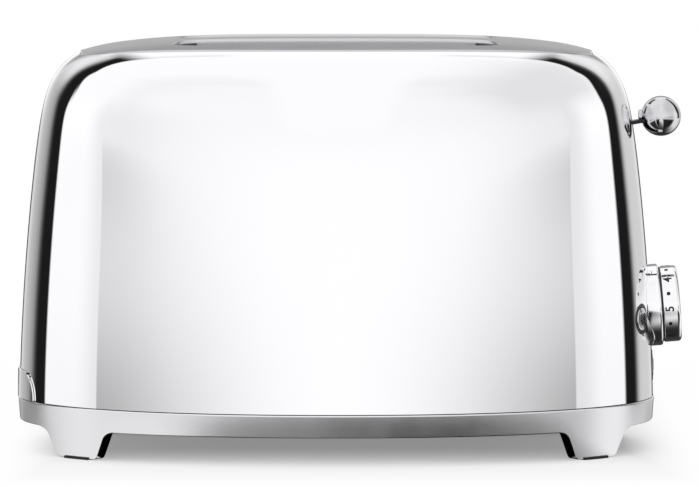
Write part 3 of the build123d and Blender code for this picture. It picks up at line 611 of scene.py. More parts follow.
METAL, OTHER = 1.0, 0.0
FINISHES = {
    # Nickel-chrome plating over pressed steel, buffed: a mirror with the faintest haze
    "polished_chrome": ("Mirror_nickel_chrome_plating", ("plating", 0.985, 1.0), (0.02, 0.035),
                        METAL, 70, 45, 0.004),
    # The same plating on turned knobs, with a little more haze from the lathe
    "knob_chrome": ("Turned_nickel_chrome_plating", ("plating", 0.95, 0.99), (0.05, 0.08),
                    METAL, 12, 6, 0.001),
    # A polished steel ball without plating: a soft mirror, and greyer than the shell
    "ball_steel": ("Polished_steel_ball", ("D4D4D7", "DEDEE1"), (0.07, 0.09), METAL, 9, 6, 0.001),
    # Stainless sheet rubbed along its length: a soft sheen drawn out across the lines. The real
    # lines are a tenth of a millimetre apart, and are drawn at half a millimetre so that they show
    "satin_steel": ("Satin_rubbed_stainless_sheet", ("satin_sheet", 0.95, 1.03), (0.31, 0.36),
                    METAL, 40, 0.5, 0.0025, (0.03, 1, 1)),
    # Die-cast aluminium, bead-blasted and lacquered: broad soft reflections with a very fine grain
    "satin_casting": ("Blasted_diecast_aluminium", ("casting", 0.95, 1.02), (0.22, 0.28),
                      METAL, 25, 0.5, 0.006),
    # Satin chrome on ABS: softer than the shell's mirror
    "bright_button": ("Satin_chromed_ABS", ("CFCFD2", "DADADD"), (0.14, 0.2),
                      METAL, 6, 0.5, 0.002),
    # Heat-proof moulded plastic, spark-eroded: black with a fine even grain
    "black_plastic": ("Moulded_heatproof_plastic", ("17171A", "1E1E21"), (0.38, 0.5),
                      OTHER, 8, 0.5, 0.02),
    # Spring steel, heat-blackened and oiled: dark with a low metallic gleam
    "arm_steel": ("Blackened_spring_steel", ("2A2A2D", "38383B"), (0.24, 0.34),
                  METAL, 6, 0.5, 0.003, (0.1, 1, 1)),
    # Pad-printed ink, a thin matt film that stands a hair above the metal
    "printed_ink": ("Pad_printed_ink", ("ink", 0.9, 1.15), (0.45, 0.55), OTHER, 2, 0.3, 0.004),
    # Moulded rubber: matt, nearly black, with a dusty bloom
    "black_rubber": ("Moulded_rubber", ("161617", "232324"), (0.75, 0.9), OTHER, 5, 0.6, 0.03),
    # Zinc-coated sheet: pale grey with the cloudy spangle of the bath, about 15 mm across
    "zinc_steel": ("Zinc_coated_sheet", ("9A9DA0", "BEC1C4"), (0.3, 0.5), METAL, 15, 0.8, 0.004),
    # Drawn steel: bright, with lines along the draw
    "bright_steel": ("Bright_drawn_steel", ("BDBDBD", "D2D2D2"), (0.18, 0.28),
                     METAL, 10, 0.5, 0.003, (0.2, 1, 0.2)),
    # Aluminised sheet: bright and slightly milky, tinted straw where the heat has reached it
    "reflector_sheet": ("Aluminised_steel_sheet", ("C9C4B8", "D8D6D0"), (0.22, 0.34),
                        METAL, 35, 1.0, 0.006),
    # Pressed mica: a brown-gold board of flakes a few millimetres across
    "mica_sheet": ("Pressed_mica_sheet", ("A8926C", "CDBB94"), (0.3, 0.55), OTHER, 4, 1.5, 0.02),
    # Nickel-chromium ribbon after its first heats: grey-brown oxide, half dull
    "heating_ribbon": ("Oxidised_nickel_chromium_ribbon", ("5E5752", "857A71"), (0.4, 0.55),
                       METAL, 6, 0.6, 0.004),
    # Enamelled copper: warm and glossy under its varnish
    "winding": ("Enamelled_copper_wire", ("8A4A22", "B86A34"), (0.22, 0.3),
                METAL, 3, 0.4, 0.01, (1, 0.2, 1)),
    # Glazed ceramic: off-white with a clear glaze over a faint mottle
    "terminal_ceramic": ("Glazed_ceramic", ("E2DED2", "EFECE3"), (0.1, 0.18),
                         OTHER, 4, 2.0, 0.006),
    # Solder resist over glass-cloth board: deep green, glossy, the weave just felt
    "circuit_board": ("Solder_resist_board", ("0E4A2A", "17603A"), (0.25, 0.35),
                      OTHER, 6, 0.8, 0.01),
}


def add_node(tree, kind, sockets=(), stops=(), **settings):
    """Adds a node with its settings, its ramp's stops of (position, strength), and a value or a
    link for each socket, by name or in order. A node that is given stands for its first output."""
    made = tree.nodes.new("ShaderNode" + kind)
    for name, value in settings.items():
        setattr(made, name, value)
    if stops:
        elements = made.color_ramp.elements
        for position, level in stops[1:-1]:
            elements.new(position)
        for element, (position, level) in zip(elements, stops):
            element.position = position
            element.color = (level, level, level, 1)
    for name, value in sockets.items() if isinstance(sockets, dict) else enumerate(sockets):
        if isinstance(value, bpy.types.Node):
            value = value.outputs[0]
        if isinstance(value, bpy.types.NodeSocket):
            tree.links.new(value, made.inputs[name])
        else:
            made.inputs[name].default_value = value
    return made


def empty_tree(owner):
    """Clears the nodes of a new material or world, and returns what adds a node to them."""
    owner.use_nodes = True
    owner.node_tree.nodes.clear()
    return partial(add_node, owner.node_tree)


def finish(key):
    """A surface whose tone and polish drift over patches, under a fine grain."""
    name, tones, roughness, metallic, patch, grain, depth, *drawn = FINISHES[key]
    known = bpy.data.materials.get(name)
    if known:
        return known
    if len(tones) == 3:
        whole = getattr(bpy.context.scene.toaster_colours, tones[0])
        tones = [tuple(part * share for part in whole[:3]) for share in tones[1:]]
    else:
        tones = [linear(code) for code in tones]
    material = bpy.data.materials.new(name)
    add = empty_tree(material)
    place = add("TexCoord").outputs["Object"]
    run = add("Mapping", {"Vector": place, "Scale": drawn[0] if drawn else (1, 1, 1)})
    drift = add("TexNoise", {"Vector": place, "Scale": 1 / (patch * MM), "Detail": 3.0})
    tone = add("Mix", {0: drift, 6: (*tones[0], 1), 7: (*tones[1], 1)}, data_type="RGBA")
    polish = add("MapRange", (drift, 0.3, 0.7, *roughness))
    fine = add("TexNoise", {"Vector": run, "Scale": 1 / (grain * MM), "Detail": 2.0})
    relief = add("Bump", {"Height": fine, "Distance": depth * MM, "Strength": 1.0})
    shader = add("BsdfPrincipled", {
        "Base Color": tone.outputs[2], "Metallic": metallic, "Roughness": polish,
        "Normal": relief})
    add("OutputMaterial", [shader])
    return material


# Pieces


class TOASTER_OT_outer_shell(bpy.types.Operator):
    """Press the oval shell, roll its rim and cut its openings"""

    bl_idname = "toaster.outer_shell"
    bl_label = "Outer shell"

    def execute(self, context):
        sizes = context.scene.toaster_sizes
        roll = sizes.rim_roll / MM
        turns = even_turns(END_REACH, SIDE_REACH, FOOT_SQUARENESS, SHELL_COLUMNS)
        grown = PANEL_GAP + roll * (1 + math.cos(ROLL_SLOPE))
        rows = SHELL_ROWS + ROLL_ROWS + 1

        def body_point(turn, z):
            return outline(*shell_oval(z), turn)[0]

        def over_panel(turn, z):
            return fill(*body_point(turn, z), PANEL_HALF_LENGTH + grown,
                        PANEL_HALF_DEPTH + grown, RIM_SQUARENESS) < 1

        tops = [between(180, 200, partial(over_panel, turn)) for turn in turns]

        def place(column, row):
            turn, top = turns[column], tops[column]
            if row <= SHELL_ROWS:
                share = 1 - (1 - row / SHELL_ROWS) ** ROW_CROWDING
                z = SHELL_FOOT + (top - SHELL_FOOT) * share
                return at(*body_point(turn, z), z)
            x, y = body_point(turn, top)
            true = way_out_of_shell(x, y, top)
            out = true.xy.normalized()
            start = math.atan2(true.z, true.xy.length)
            if row == rows:
                side = -roll - roll * math.cos(start)
                up = -roll * math.sin(start) - ROLL_TAIL
            else:
                swing = start + (math.pi - start) * (row - SHELL_ROWS) / ROLL_ROWS
                side = roll * (math.cos(swing) - math.cos(start))
                up = roll * (math.sin(swing) - math.sin(start))
            return at(x + out.x * side, y + out.y * side, top + up)

        def way_out(spot):
            x, y, z = from_middle(spot)
            if z > SHELL_FACE_TOP or abs(beyond_shell(x, y, z)) > SHELL_NEAR:
                return None
            return way_out_of_shell(x, y, z)

        piece = tube("Outer_shell", SHELL_COLUMNS, rows, place)
        use_modifier(piece, "SOLIDIFY", thickness=sizes.shell_sheet, offset=-1)
        cut_away(piece, self.openings(sizes))
        smooth_by_angle(piece)
        shade_from_surface(piece, way_out)
        hand_over(piece, "root", "polished_chrome", "outer_shell")
        return {"FINISHED"}

    def openings(self, sizes):
        """Cutters for the bezel, the button rings, the lever's slot and the tray's door."""
        holes = [(0.0, 0.0, sizes.bezel_radius / MM + BEZEL_ROOM)]
        holes += [(*place, sizes.button_radius / MM + BUTTON_ROOM) for place in BUTTONS.values()]
        cutters = [add_primitive(
            "Hole_cutter", bpy.ops.mesh.primitive_cylinder_add, vertices=96, radius=radius * MM,
            depth=HOLE_DEPTH * MM, location=on_control(rise, across, HOLE_ALONG),
            rotation=(0, math.pi / 2 - CONTROL_TILT, 0)) for rise, across, radius in holes]
        half = LEVER_SLOT_HALF_WIDTH
        slot = add_primitive(
            "Lever_slot_cutter", bpy.ops.mesh.primitive_cylinder_add, vertices=64,
            radius=half * MM, depth=SLOT_DEPTH * MM, rotation=(0, math.pi / 2, 0),
            location=at(LEVER_SLOT_X, 0, LEVER_SLOT_FOOT + half))
        apply_place()
        for vertex in slot.data.vertices:
            if vertex.co.z > (LEVER_SLOT_FOOT + half) * MM:
                vertex.co.z += (LEVER_SLOT_TOP - LEVER_SLOT_FOOT - 2 * half) * MM
        door = add_primitive(
            "Door_cutter", bpy.ops.mesh.primitive_cube_add, size=1,
            location=at(TRAY_DOOR_X, 0, (TRAY_DOOR_FOOT + TRAY_DOOR_TOP) / 2),
            scale=(HOLE_DEPTH * MM, 2 * TRAY_DOOR_HALF_WIDTH * MM,
                   (TRAY_DOOR_TOP - TRAY_DOOR_FOOT) * MM))
        apply_place()
        use_modifier(
            door, "BEVEL", width=TRAY_DOOR_CORNER * MM, segments=4, limit_method="ANGLE")
        return [*cutters, slot, door]


def slot_outline():
    """The bread slot's outline: places round it, each with the way out of the slot."""
    x, y = SLOT_HALF_LENGTH - SLOT_CORNER, SLOT_HALF_WIDTH - SLOT_CORNER
    corners = [Vector(corner) for corner in ((x, y), (-x, y), (-x, -y), (x, -y))]
    places = []
    for i, (corner, along) in enumerate(zip(corners, SLOT_SIDE_STEPS)):
        for step in range(SLOT_CORNER_STEPS + 1):
            way = Vector(circle(math.radians(90 * i + 90 * step / SLOT_CORNER_STEPS)))
            places.append((corner + way * SLOT_CORNER, way))
        begin, end = places.pop()[0], corners[(i + 1) % 4] + way * SLOT_CORNER
        places += [(begin.lerp(end, step / along), way) for step in range(along)]
    return places


class TOASTER_OT_top_panel(bpy.types.Operator):
    """Press the top panel, cut its two slots and flare their mouths"""

    bl_idname = "toaster.top_panel"
    bl_label = "Top panel"

    def execute(self, context):
        sizes = context.scene.toaster_sizes
        flare = sizes.slot_flare / MM
        self.panel(sizes.panel_sheet, flare)
        for side, name in ((-1, "front"), (1, "back")):
            self.collar(name, side * SLOT_MIDDLE, flare)
        return {"FINISHED"}

    def panel(self, sheet, flare):
        """The crowned panel with its rounded edge, cut to the mouths of its slots."""
        half_x, half_y, edge = PANEL_HALF_LENGTH, PANEL_HALF_DEPTH, PANEL_EDGE
        turns = even_turns(half_x, half_y, RIM_SQUARENESS, PANEL_COLUMNS)

        def place(column, row):
            point, out = outline(half_x, half_y, RIM_SQUARENESS, turns[column])
            if row <= PANEL_EDGE_ROWS:
                top = panel_top(point.x, point.y)
                if row == 0:
                    return at(point.x, point.y, top - PANEL_SKIRT)
                swing = math.pi / 2 * (row - 1) / (PANEL_EDGE_ROWS - 1)
                inward = edge * (1 - math.cos(swing))
                return at(point.x - out.x * inward, point.y - out.y * inward,
                          top - edge * (1 - math.sin(swing)))
            share = (PANEL_ROWS - row) / (PANEL_ROWS - PANEL_EDGE_ROWS)
            x = (point.x - out.x * edge) * share
            y = (point.y - out.y * edge) * share
            return at(x, y, panel_top(x, y))

        def way_out(spot):
            x, y, z = from_middle(spot)
            inner = fill(x, y, half_x - edge, half_y - edge, RIM_SQUARENESS)
            if inner > 1.002 or abs(z - panel_top(x, y)) > 0.02:
                return None
            return way_out_of_panel(x, y)

        piece = tube("Top_panel", PANEL_COLUMNS, PANEL_ROWS, place)
        weld(piece)
        use_modifier(piece, "SOLIDIFY", thickness=sheet, offset=-1)
        places = slot_outline()
        cutters = [tube("Slot_cutter", len(places), 1, lambda column, row, side=side: at(
            places[column][0].x + places[column][1].x * flare,
            side * SLOT_MIDDLE + places[column][0].y + places[column][1].y * flare,
            SLOT_CUTTER_FOOT + SLOT_CUTTER_HEIGHT * row), ends="NGON") for side in (-1, 1)]
        cut_away(piece, cutters)
        smooth_by_angle(piece)
        shade_from_surface(piece, way_out)
        hand_over(piece, "root", "satin_steel", "top_panel")

    def collar(self, name, middle, flare):
        """The slot's mouth, which curves down from the panel, and its collar."""
        places = slot_outline()

        def place(column, row):
            spot, way = places[column]
            top = panel_top(spot.x + way.x * flare, middle + spot.y + way.y * flare)
            if row <= COLLAR_BEND_ROWS:
                swing = math.pi / 2 * row / COLLAR_BEND_ROWS
                out, down = flare * (1 - math.sin(swing)), flare * (1 - math.cos(swing))
                return at(spot.x + way.x * out, middle + spot.y + way.y * out, top - down)
            share = (row - COLLAR_BEND_ROWS) / COLLAR_DROP_ROWS
            end = min(max((abs(spot.x) - COLLAR_END) / 2, 0), 1)
            foot = COLLAR_FOOT + (top - COLLAR_END_DEPTH - COLLAR_FOOT) * end
            return at(spot.x, middle + spot.y, (top - flare) * (1 - share) + foot * share)

        rows = COLLAR_BEND_ROWS + COLLAR_DROP_ROWS
        piece = tube("Slot_collar_" + name, len(places), rows, place)
        use_modifier(piece, "SOLIDIFY", thickness=COLLAR_WALL * MM, offset=-1)
        smooth_by_angle(piece)
        hand_over(piece, "root", "satin_steel")


class TOASTER_OT_base_ring(bpy.types.Operator):
    """Cast the base ring with its four feet, and turn the screws of the bottom cover"""

    bl_idname = "toaster.base_ring"
    bl_label = "Base ring"

    def execute(self, context):
        draft = math.tan(context.scene.toaster_sizes.ring_draft)
        edge, toe = RING_EDGE, FOOT_TOE
        foot_line = rounded([
            (0, FOOT_BOTTOM, 0), (FOOT_HALF_WIDTH, FOOT_BOTTOM, FOOT_CORNER),
            (FOOT_HALF_WIDTH + FOOT_SPREAD, RING_BOTTOM, FOOT_FILLET),
            (FOOT_LINE_END, RING_BOTTOM, 0)], steps=12)

        def low_at(x):
            """How low the ring reaches at x, down to the foot's bottom."""
            away = abs(abs(x) - FOOT_MIDDLE)
            for near, far in zip(foot_line, foot_line[1:]):
                if away <= far.x:
                    part = (away - near.x) / max(far.x - near.x, 1e-9)
                    return near.y + (far.y - near.y) * part
            return RING_BOTTOM

        def wall_at(z):
            return -draft * max(RING_TOP - edge - z, 0)

        def section(low):
            """The ring's cross-section from its outer wall over the top, down inside and back."""
            arc = [math.radians(22.5 * step) for step in range(5)]
            points = [(edge * (math.cos(turn) - 1), RING_TOP - edge * (1 - math.sin(turn)))
                      for turn in arc]
            inner = -RING_WALL - (FOOT_WALL - RING_WALL) * min(
                1, (RING_BOTTOM - low) / FOOT_BLEND)
            inside = wall_at(low + toe) - toe
            ledge, shelf = -RING_WALL - LEDGE, RING_BOTTOM + LEDGE_SHEET
            points += [(-RING_TOP_STEP, RING_TOP), (-RING_WALL + RING_INNER_EDGE, RING_TOP),
                       (-RING_WALL, RING_TOP - RING_INNER_EDGE),
                       (-RING_WALL, shelf), (ledge, shelf), (ledge, RING_BOTTOM),
                       (inner, RING_BOTTOM), (inner, min(low + FOOT_HEEL, RING_BOTTOM)),
                       (inner + FOOT_HEEL, low), ((inner + inside) / 2, low)]
            points += [(inside + toe * math.sin(turn), low + toe * (1 - math.cos(turn)))
                       for turn in arc]
            middle = (low + toe + RING_TOP - edge) / 2
            points.append((wall_at(middle), middle))
            return points + points[:1]

        turns = even_turns(
            *RING_OVAL, RING_COLUMNS,
            lambda x, y: FOOT_CROWDING if abs(abs(x) - FOOT_MIDDLE) < FOOT_REACH else 1.0)
        spots = [outline(*RING_OVAL, turn) for turn in turns]
        sections = [section(low_at(point.x)) for point, out in spots]

        def place(column, row):
            (point, out), (side, z) = spots[column], sections[column][row]
            return at(point.x + out.x * side, point.y + out.y * side, z)

        piece = tube("Base_ring", len(turns), len(sections[0]) - 1, place)
        weld(piece)
        smooth(piece)
        hand_over(piece, "root", "satin_casting", "base_frame")
        self.screws()
        return {"FINISHED"}

    def screws(self):
        """Four slotted screws with low heads, which hold the bottom cover."""
        low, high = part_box("cover_screws")
        half_x, half_y = [(high[i] - low[i]) / 2 / MM - SCREW_HEAD_RADIUS for i in (0, 1)]
        profile = rounded([
            (0, SCREW_HEAD_FOOT, 0), (SCREW_HEAD_RADIUS, SCREW_HEAD_FOOT, 0.3),
            (SCREW_HEAD_RADIUS, RING_BOTTOM, 0), (SCREW_SHANK_RADIUS, RING_BOTTOM, 0),
            (SCREW_SHANK_RADIUS, SCREW_SHANK_TOP, 0.4), (0, SCREW_SHANK_TOP, 0)])
        screws = []
        for x, y in ((-half_x, -half_y), (-half_x, half_y), (half_x, -half_y), (half_x, half_y)):
            def place(spread, turn, along, x=x, y=y):
                side, ahead = circle(turn, spread)
                return at(x + side, y + ahead, along)

            screw = turn_piece("Screw", profile, 36, place)
            cut_away(screw, [add_primitive(
                "Driver_slot_cutter", bpy.ops.mesh.primitive_cube_add, size=1,
                location=at(x, y, SCREW_HEAD_FOOT), scale=[side * MM for side in DRIVER_SLOT])])
            smooth_by_angle(screw)
            screws.append(screw)
        hand_over(join_pieces("Cover_screws", screws), "root", "arm_steel", "cover_screws")


class TOASTER_OT_browning_knob(bpy.types.Operator):
    """Turn the browning knob and its bezel, and print the numbers"""

    bl_idname = "toaster.browning_knob"
    bl_label = "Browning knob"

    def execute(self, context):
        sizes = context.scene.toaster_sizes
        radius, bezel = sizes.knob_radius / MM, sizes.bezel_radius / MM
        (back, front), (side, face) = KNOB_BACK, KNOB_SIDE

        def place(spread, turn, along):
            return on_control(*circle(turn, spread), along)

        ring = turn_piece("Knob_bezel", rounded([
            (bezel, BEZEL_FOOT, 0), (bezel, BEZEL_FRONT, 1.1), (BEZEL_HOLE, BEZEL_FRONT, 0.3),
            (BEZEL_HOLE, BEZEL_SEAT, 0), (bezel - BEZEL_WALL, BEZEL_SEAT, 0.5),
            (bezel - BEZEL_WALL, BEZEL_FOOT, 0), (bezel, BEZEL_FOOT, 0)], steps=7), 144, place)
        hand_over(ring, "root", "polished_chrome", "knob_bezel")
        knob = turn_piece("Browning_knob", rounded([
            (0, side, 0), (radius, side, 0.4), (radius, face, 1.8), (radius - 4, face, 0.6),
            (radius - 4.6, KNOB_DISH, 0.6), (0, KNOB_DISH, 0)], steps=8), 144, place)
        hand_over(knob, "dial", "polished_chrome", "browning_knob", look="knob_chrome")
        plate = turn_piece("Knob_back", rounded([
            (0, back, 0), (radius - 0.4, back, 0.1), (radius - 0.4, front, 0), (0, front, 0)]),
            96, place)
        hand_over(plate, "dial", "black_plastic")
        numbers = self.numbers(radius, sizes.digit_height / MM)
        hand_over(numbers, "dial", "polished_chrome", look="printed_ink")
        return {"FINISHED"}

    def numbers(self, radius, height):
        """The numbers round the knob's side, with a dot between each pair."""
        marks = []
        for number in NUMBERS:
            select_nothing()
            bpy.ops.object.text_add()
            letter = bpy.context.object.data
            letter.body = str(number)
            letter.align_x = "CENTER"
            letter.offset = NUMBER_WEIGHT
            bpy.ops.object.convert(target="MESH")
            mark = name_piece("Number")
            with edit_mode(mark):
                bpy.ops.mesh.subdivide(number_cuts=2)
            turn = NUMBER_STEP * (number - 3) + NUMBER_TURN
            self.wrap(mark, radius, height, math.radians(turn))
            marks.append(mark)
            if number != NUMBERS[-1]:
                dot = add_primitive("Dot", bpy.ops.mesh.primitive_circle_add, vertices=32,
                                    radius=1, fill_type="TRIFAN")
                self.wrap(dot, radius, DOT_HEIGHT, math.radians(turn + NUMBER_STEP / 2))
                marks.append(dot)
        piece = join_pieces("Knob_numbers", marks)
        use_modifier(piece, "SOLIDIFY", thickness=INK_DEPTH * MM, offset=0)
        return piece

    def wrap(self, mark, radius, height, middle):
        """Bends a flat mark round the knob's side, with its top towards the shell."""
        lows = [min(vertex.co[i] for vertex in mark.data.vertices) for i in (0, 1)]
        highs = [max(vertex.co[i] for vertex in mark.data.vertices) for i in (0, 1)]
        scale = height / (highs[1] - lows[1])
        spread = radius + INK_STAND
        for vertex in mark.data.vertices:
            right = (vertex.co.x - (lows[0] + highs[0]) / 2) * scale
            up = (vertex.co.y - (lows[1] + highs[1]) / 2) * scale
            vertex.co = on_control(
                *circle(middle - right / radius, spread), NUMBER_MIDDLE - up)
        mark.data.update()


def raised_line(path, place):
    """A thin raised line along a path of (across, up) points."""
    piece = add_primitive("Line", bpy.ops.mesh.primitive_grid_add, x_subdivisions=ICON_STEPS,
                          y_subdivisions=2, size=2)
    for vertex in piece.data.vertices:
        share, side = (vertex.co.x + 1) / 2, vertex.co.y
        here, on = path(share), path(min(share + 0.01, 1.0)) - path(max(share - 0.01, 0.0))
        normal = Vector((-on.y, on.x)).normalized()
        vertex.co = place(*(here + normal * side * ICON_LINE / 2))
    piece.data.update()
    return piece


class TOASTER_OT_buttons(bpy.types.Operator):
    """Make the three buttons, their rings and icons"""

    bl_idname = "toaster.buttons"
    bl_label = "Buttons"

    def execute(self, context):
        radius = context.scene.toaster_sizes.button_radius / MM
        foot, front = BUTTON_FOOT, BUTTON_RING_FRONT
        inner, outer = [radius + reach for reach in BUTTON_RING]
        for name, (rise, across) in BUTTONS.items():
            def on_skin(up, near, height, rise=rise, across=across):
                high, near = rise + up, across + near
                return on_control(high, near, skin_along(high, near) + height)

            def place(spread, turn, height, on_skin=on_skin):
                return on_skin(*circle(turn, spread), height)

            def face(right, up, on_skin=on_skin):
                return on_skin(up, -right, ICON_STAND)

            ring = turn_piece("Button_ring_" + name, rounded([
                (outer, foot, 0), (outer, front, 0.2), (inner, front, 0.2), (inner, foot, 0),
                (outer, foot, 0)]), 72, place)
            hand_over(ring, "root", "black_plastic", "button_ring_" + name)
            cap = turn_piece("Button_" + name, rounded([
                (0, foot, 0), (radius, foot, 0), (radius, 0.45, 0.6), (radius * 0.6, 0.6, 4.0),
                (0, 0.65, 0)]), 72, place)
            hand_over(cap, name, "bright_button", "button_" + name)
            icon = join_pieces(
                "Button_icon_" + name, [raised_line(path, face) for path in self.icon(name)])
            use_modifier(icon, "SOLIDIFY", thickness=ICON_DEPTH * MM, offset=0)
            hand_over(icon, name, "bright_button", look="printed_ink")
        return {"FINISHED"}

    def icon(self, name):
        """Paths of an icon's lines: heat waves, a snowflake, or a stop mark."""
        if name == "reheat":
            step, sway, waves, half = 1.9, 0.5, 1.25, 2.6
            return [lambda t, x=x: Vector((
                x + sway * math.sin(math.tau * t * waves), half - 2 * half * t))
                for x in (-step, 0.0, step)]
        if name == "defrost":
            arm, fork, barb, lean = 3.1, 1.7, 1.1, 0.75
            paths = []
            for turn in (math.pi * i / 3 for i in range(6)):
                way = Vector(circle(turn)).yx
                paths.append(lambda t, way=way: way * arm * t)
                for side in (turn - lean, turn + lean):
                    off = Vector(circle(side)).yx
                    paths.append(lambda t, way=way, off=off: way * fork + off * barb * t)
            return paths
        ring, bar = 2.7, Vector((1.9, 1.9))
        return [lambda t: Vector(circle(math.tau * t, ring)), lambda t: bar * (2 * t - 1)]


class TOASTER_OT_lever_ball(bpy.types.Operator):
    """Turn the lever's ball and its collar"""

    bl_idname = "toaster.lever_ball"
    bl_label = "Lever ball"

    def execute(self, context):
        radius = context.scene.toaster_sizes.ball_radius / MM
        low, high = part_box("lever_knob")
        middle = (low + high) / 2
        start = math.asin((BALL_COLLAR + 0.25) / radius)
        turns = [start + (math.pi - start) * step / BALL_ROWS for step in range(BALL_ROWS + 1)]
        profile = rounded([(0, -radius - 1.1, 0), (BALL_COLLAR, -radius - 1.1, 0.35),
                           (BALL_COLLAR, -radius + 0.6, 0)])
        profile += [Vector((radius * math.sin(turn), -radius * math.cos(turn))) for turn in turns]

        def place(spread, turn, along):
            return middle + Vector((along, *circle(turn, spread))) * MM

        ball = turn_piece("Lever_ball", profile, 128, place)
        hand_over(ball, "lever", "polished_chrome", "lever_knob", look="ball_steel")
        return {"FINISHED"}


class TOASTER_OT_tray_handle(bpy.types.Operator):
    """Press the crumb tray's arched handle"""

    bl_idname = "toaster.tray_handle"
    bl_label = "Tray handle"

    def execute(self, context):
        piece = add_primitive("Tray_handle", bpy.ops.mesh.primitive_grid_add, x_subdivisions=96,
                              y_subdivisions=14, size=2)
        for vertex in piece.data.vertices:
            y = -HANDLE_HALF_WIDTH * math.sin(vertex.co.x * math.pi / 2)
            beyond = max(abs(y) - (HANDLE_HALF_WIDTH - HANDLE_CORNER), 0)
            top = (HANDLE_TOP - HANDLE_CORNER
                   + math.sqrt(max(HANDLE_CORNER**2 - beyond**2, 0)))
            z = HANDLE_FOOT + (top - HANDLE_FOOT) * (vertex.co.y + 1) / 2
            skin = between(120, 160, lambda x, y=y, z=z: beyond_shell(x, y, z) > 0)
            vertex.co = at(-min(skin + HANDLE_STAND, HANDLE_REACH), y, z)
        piece.data.update()
        weld(piece)
        use_modifier(piece, "SOLIDIFY", thickness=HANDLE_SHEET * MM, offset=-1)
        use_modifier(piece, "BEVEL", width=HANDLE_EDGE * MM, segments=3, limit_method="ANGLE",
                     angle_limit=math.radians(50))
        smooth(piece)
        hand_over(piece, "tray", "polished_chrome", "tray_handle")
        return {"FINISHED"}


class TOASTER_OT_finishes(bpy.types.Operator):
    """Give every remaining CAD node the finish of its real material"""

    bl_idname = "toaster.finishes"
    bl_label = "Node finishes"

    def execute(self, context):
        slots = {part["node"]: part["material_slot"] for part in frame["record"]["subparts"]}
        for name, node in frame["nodes"].items():
            for slot in node.material_slots:
                slot.material = finish(slots[name])
        return {"FINISHED"}


def show_in_metal_only(piece, material):
    """Gives a black piece of the studio its material, and hides it from all but the metal, where
    it shows as a painted dark reflection.
    """
    piece.data.materials.append(material)
    piece.visible_camera = piece.visible_diffuse = piece.visible_shadow = False


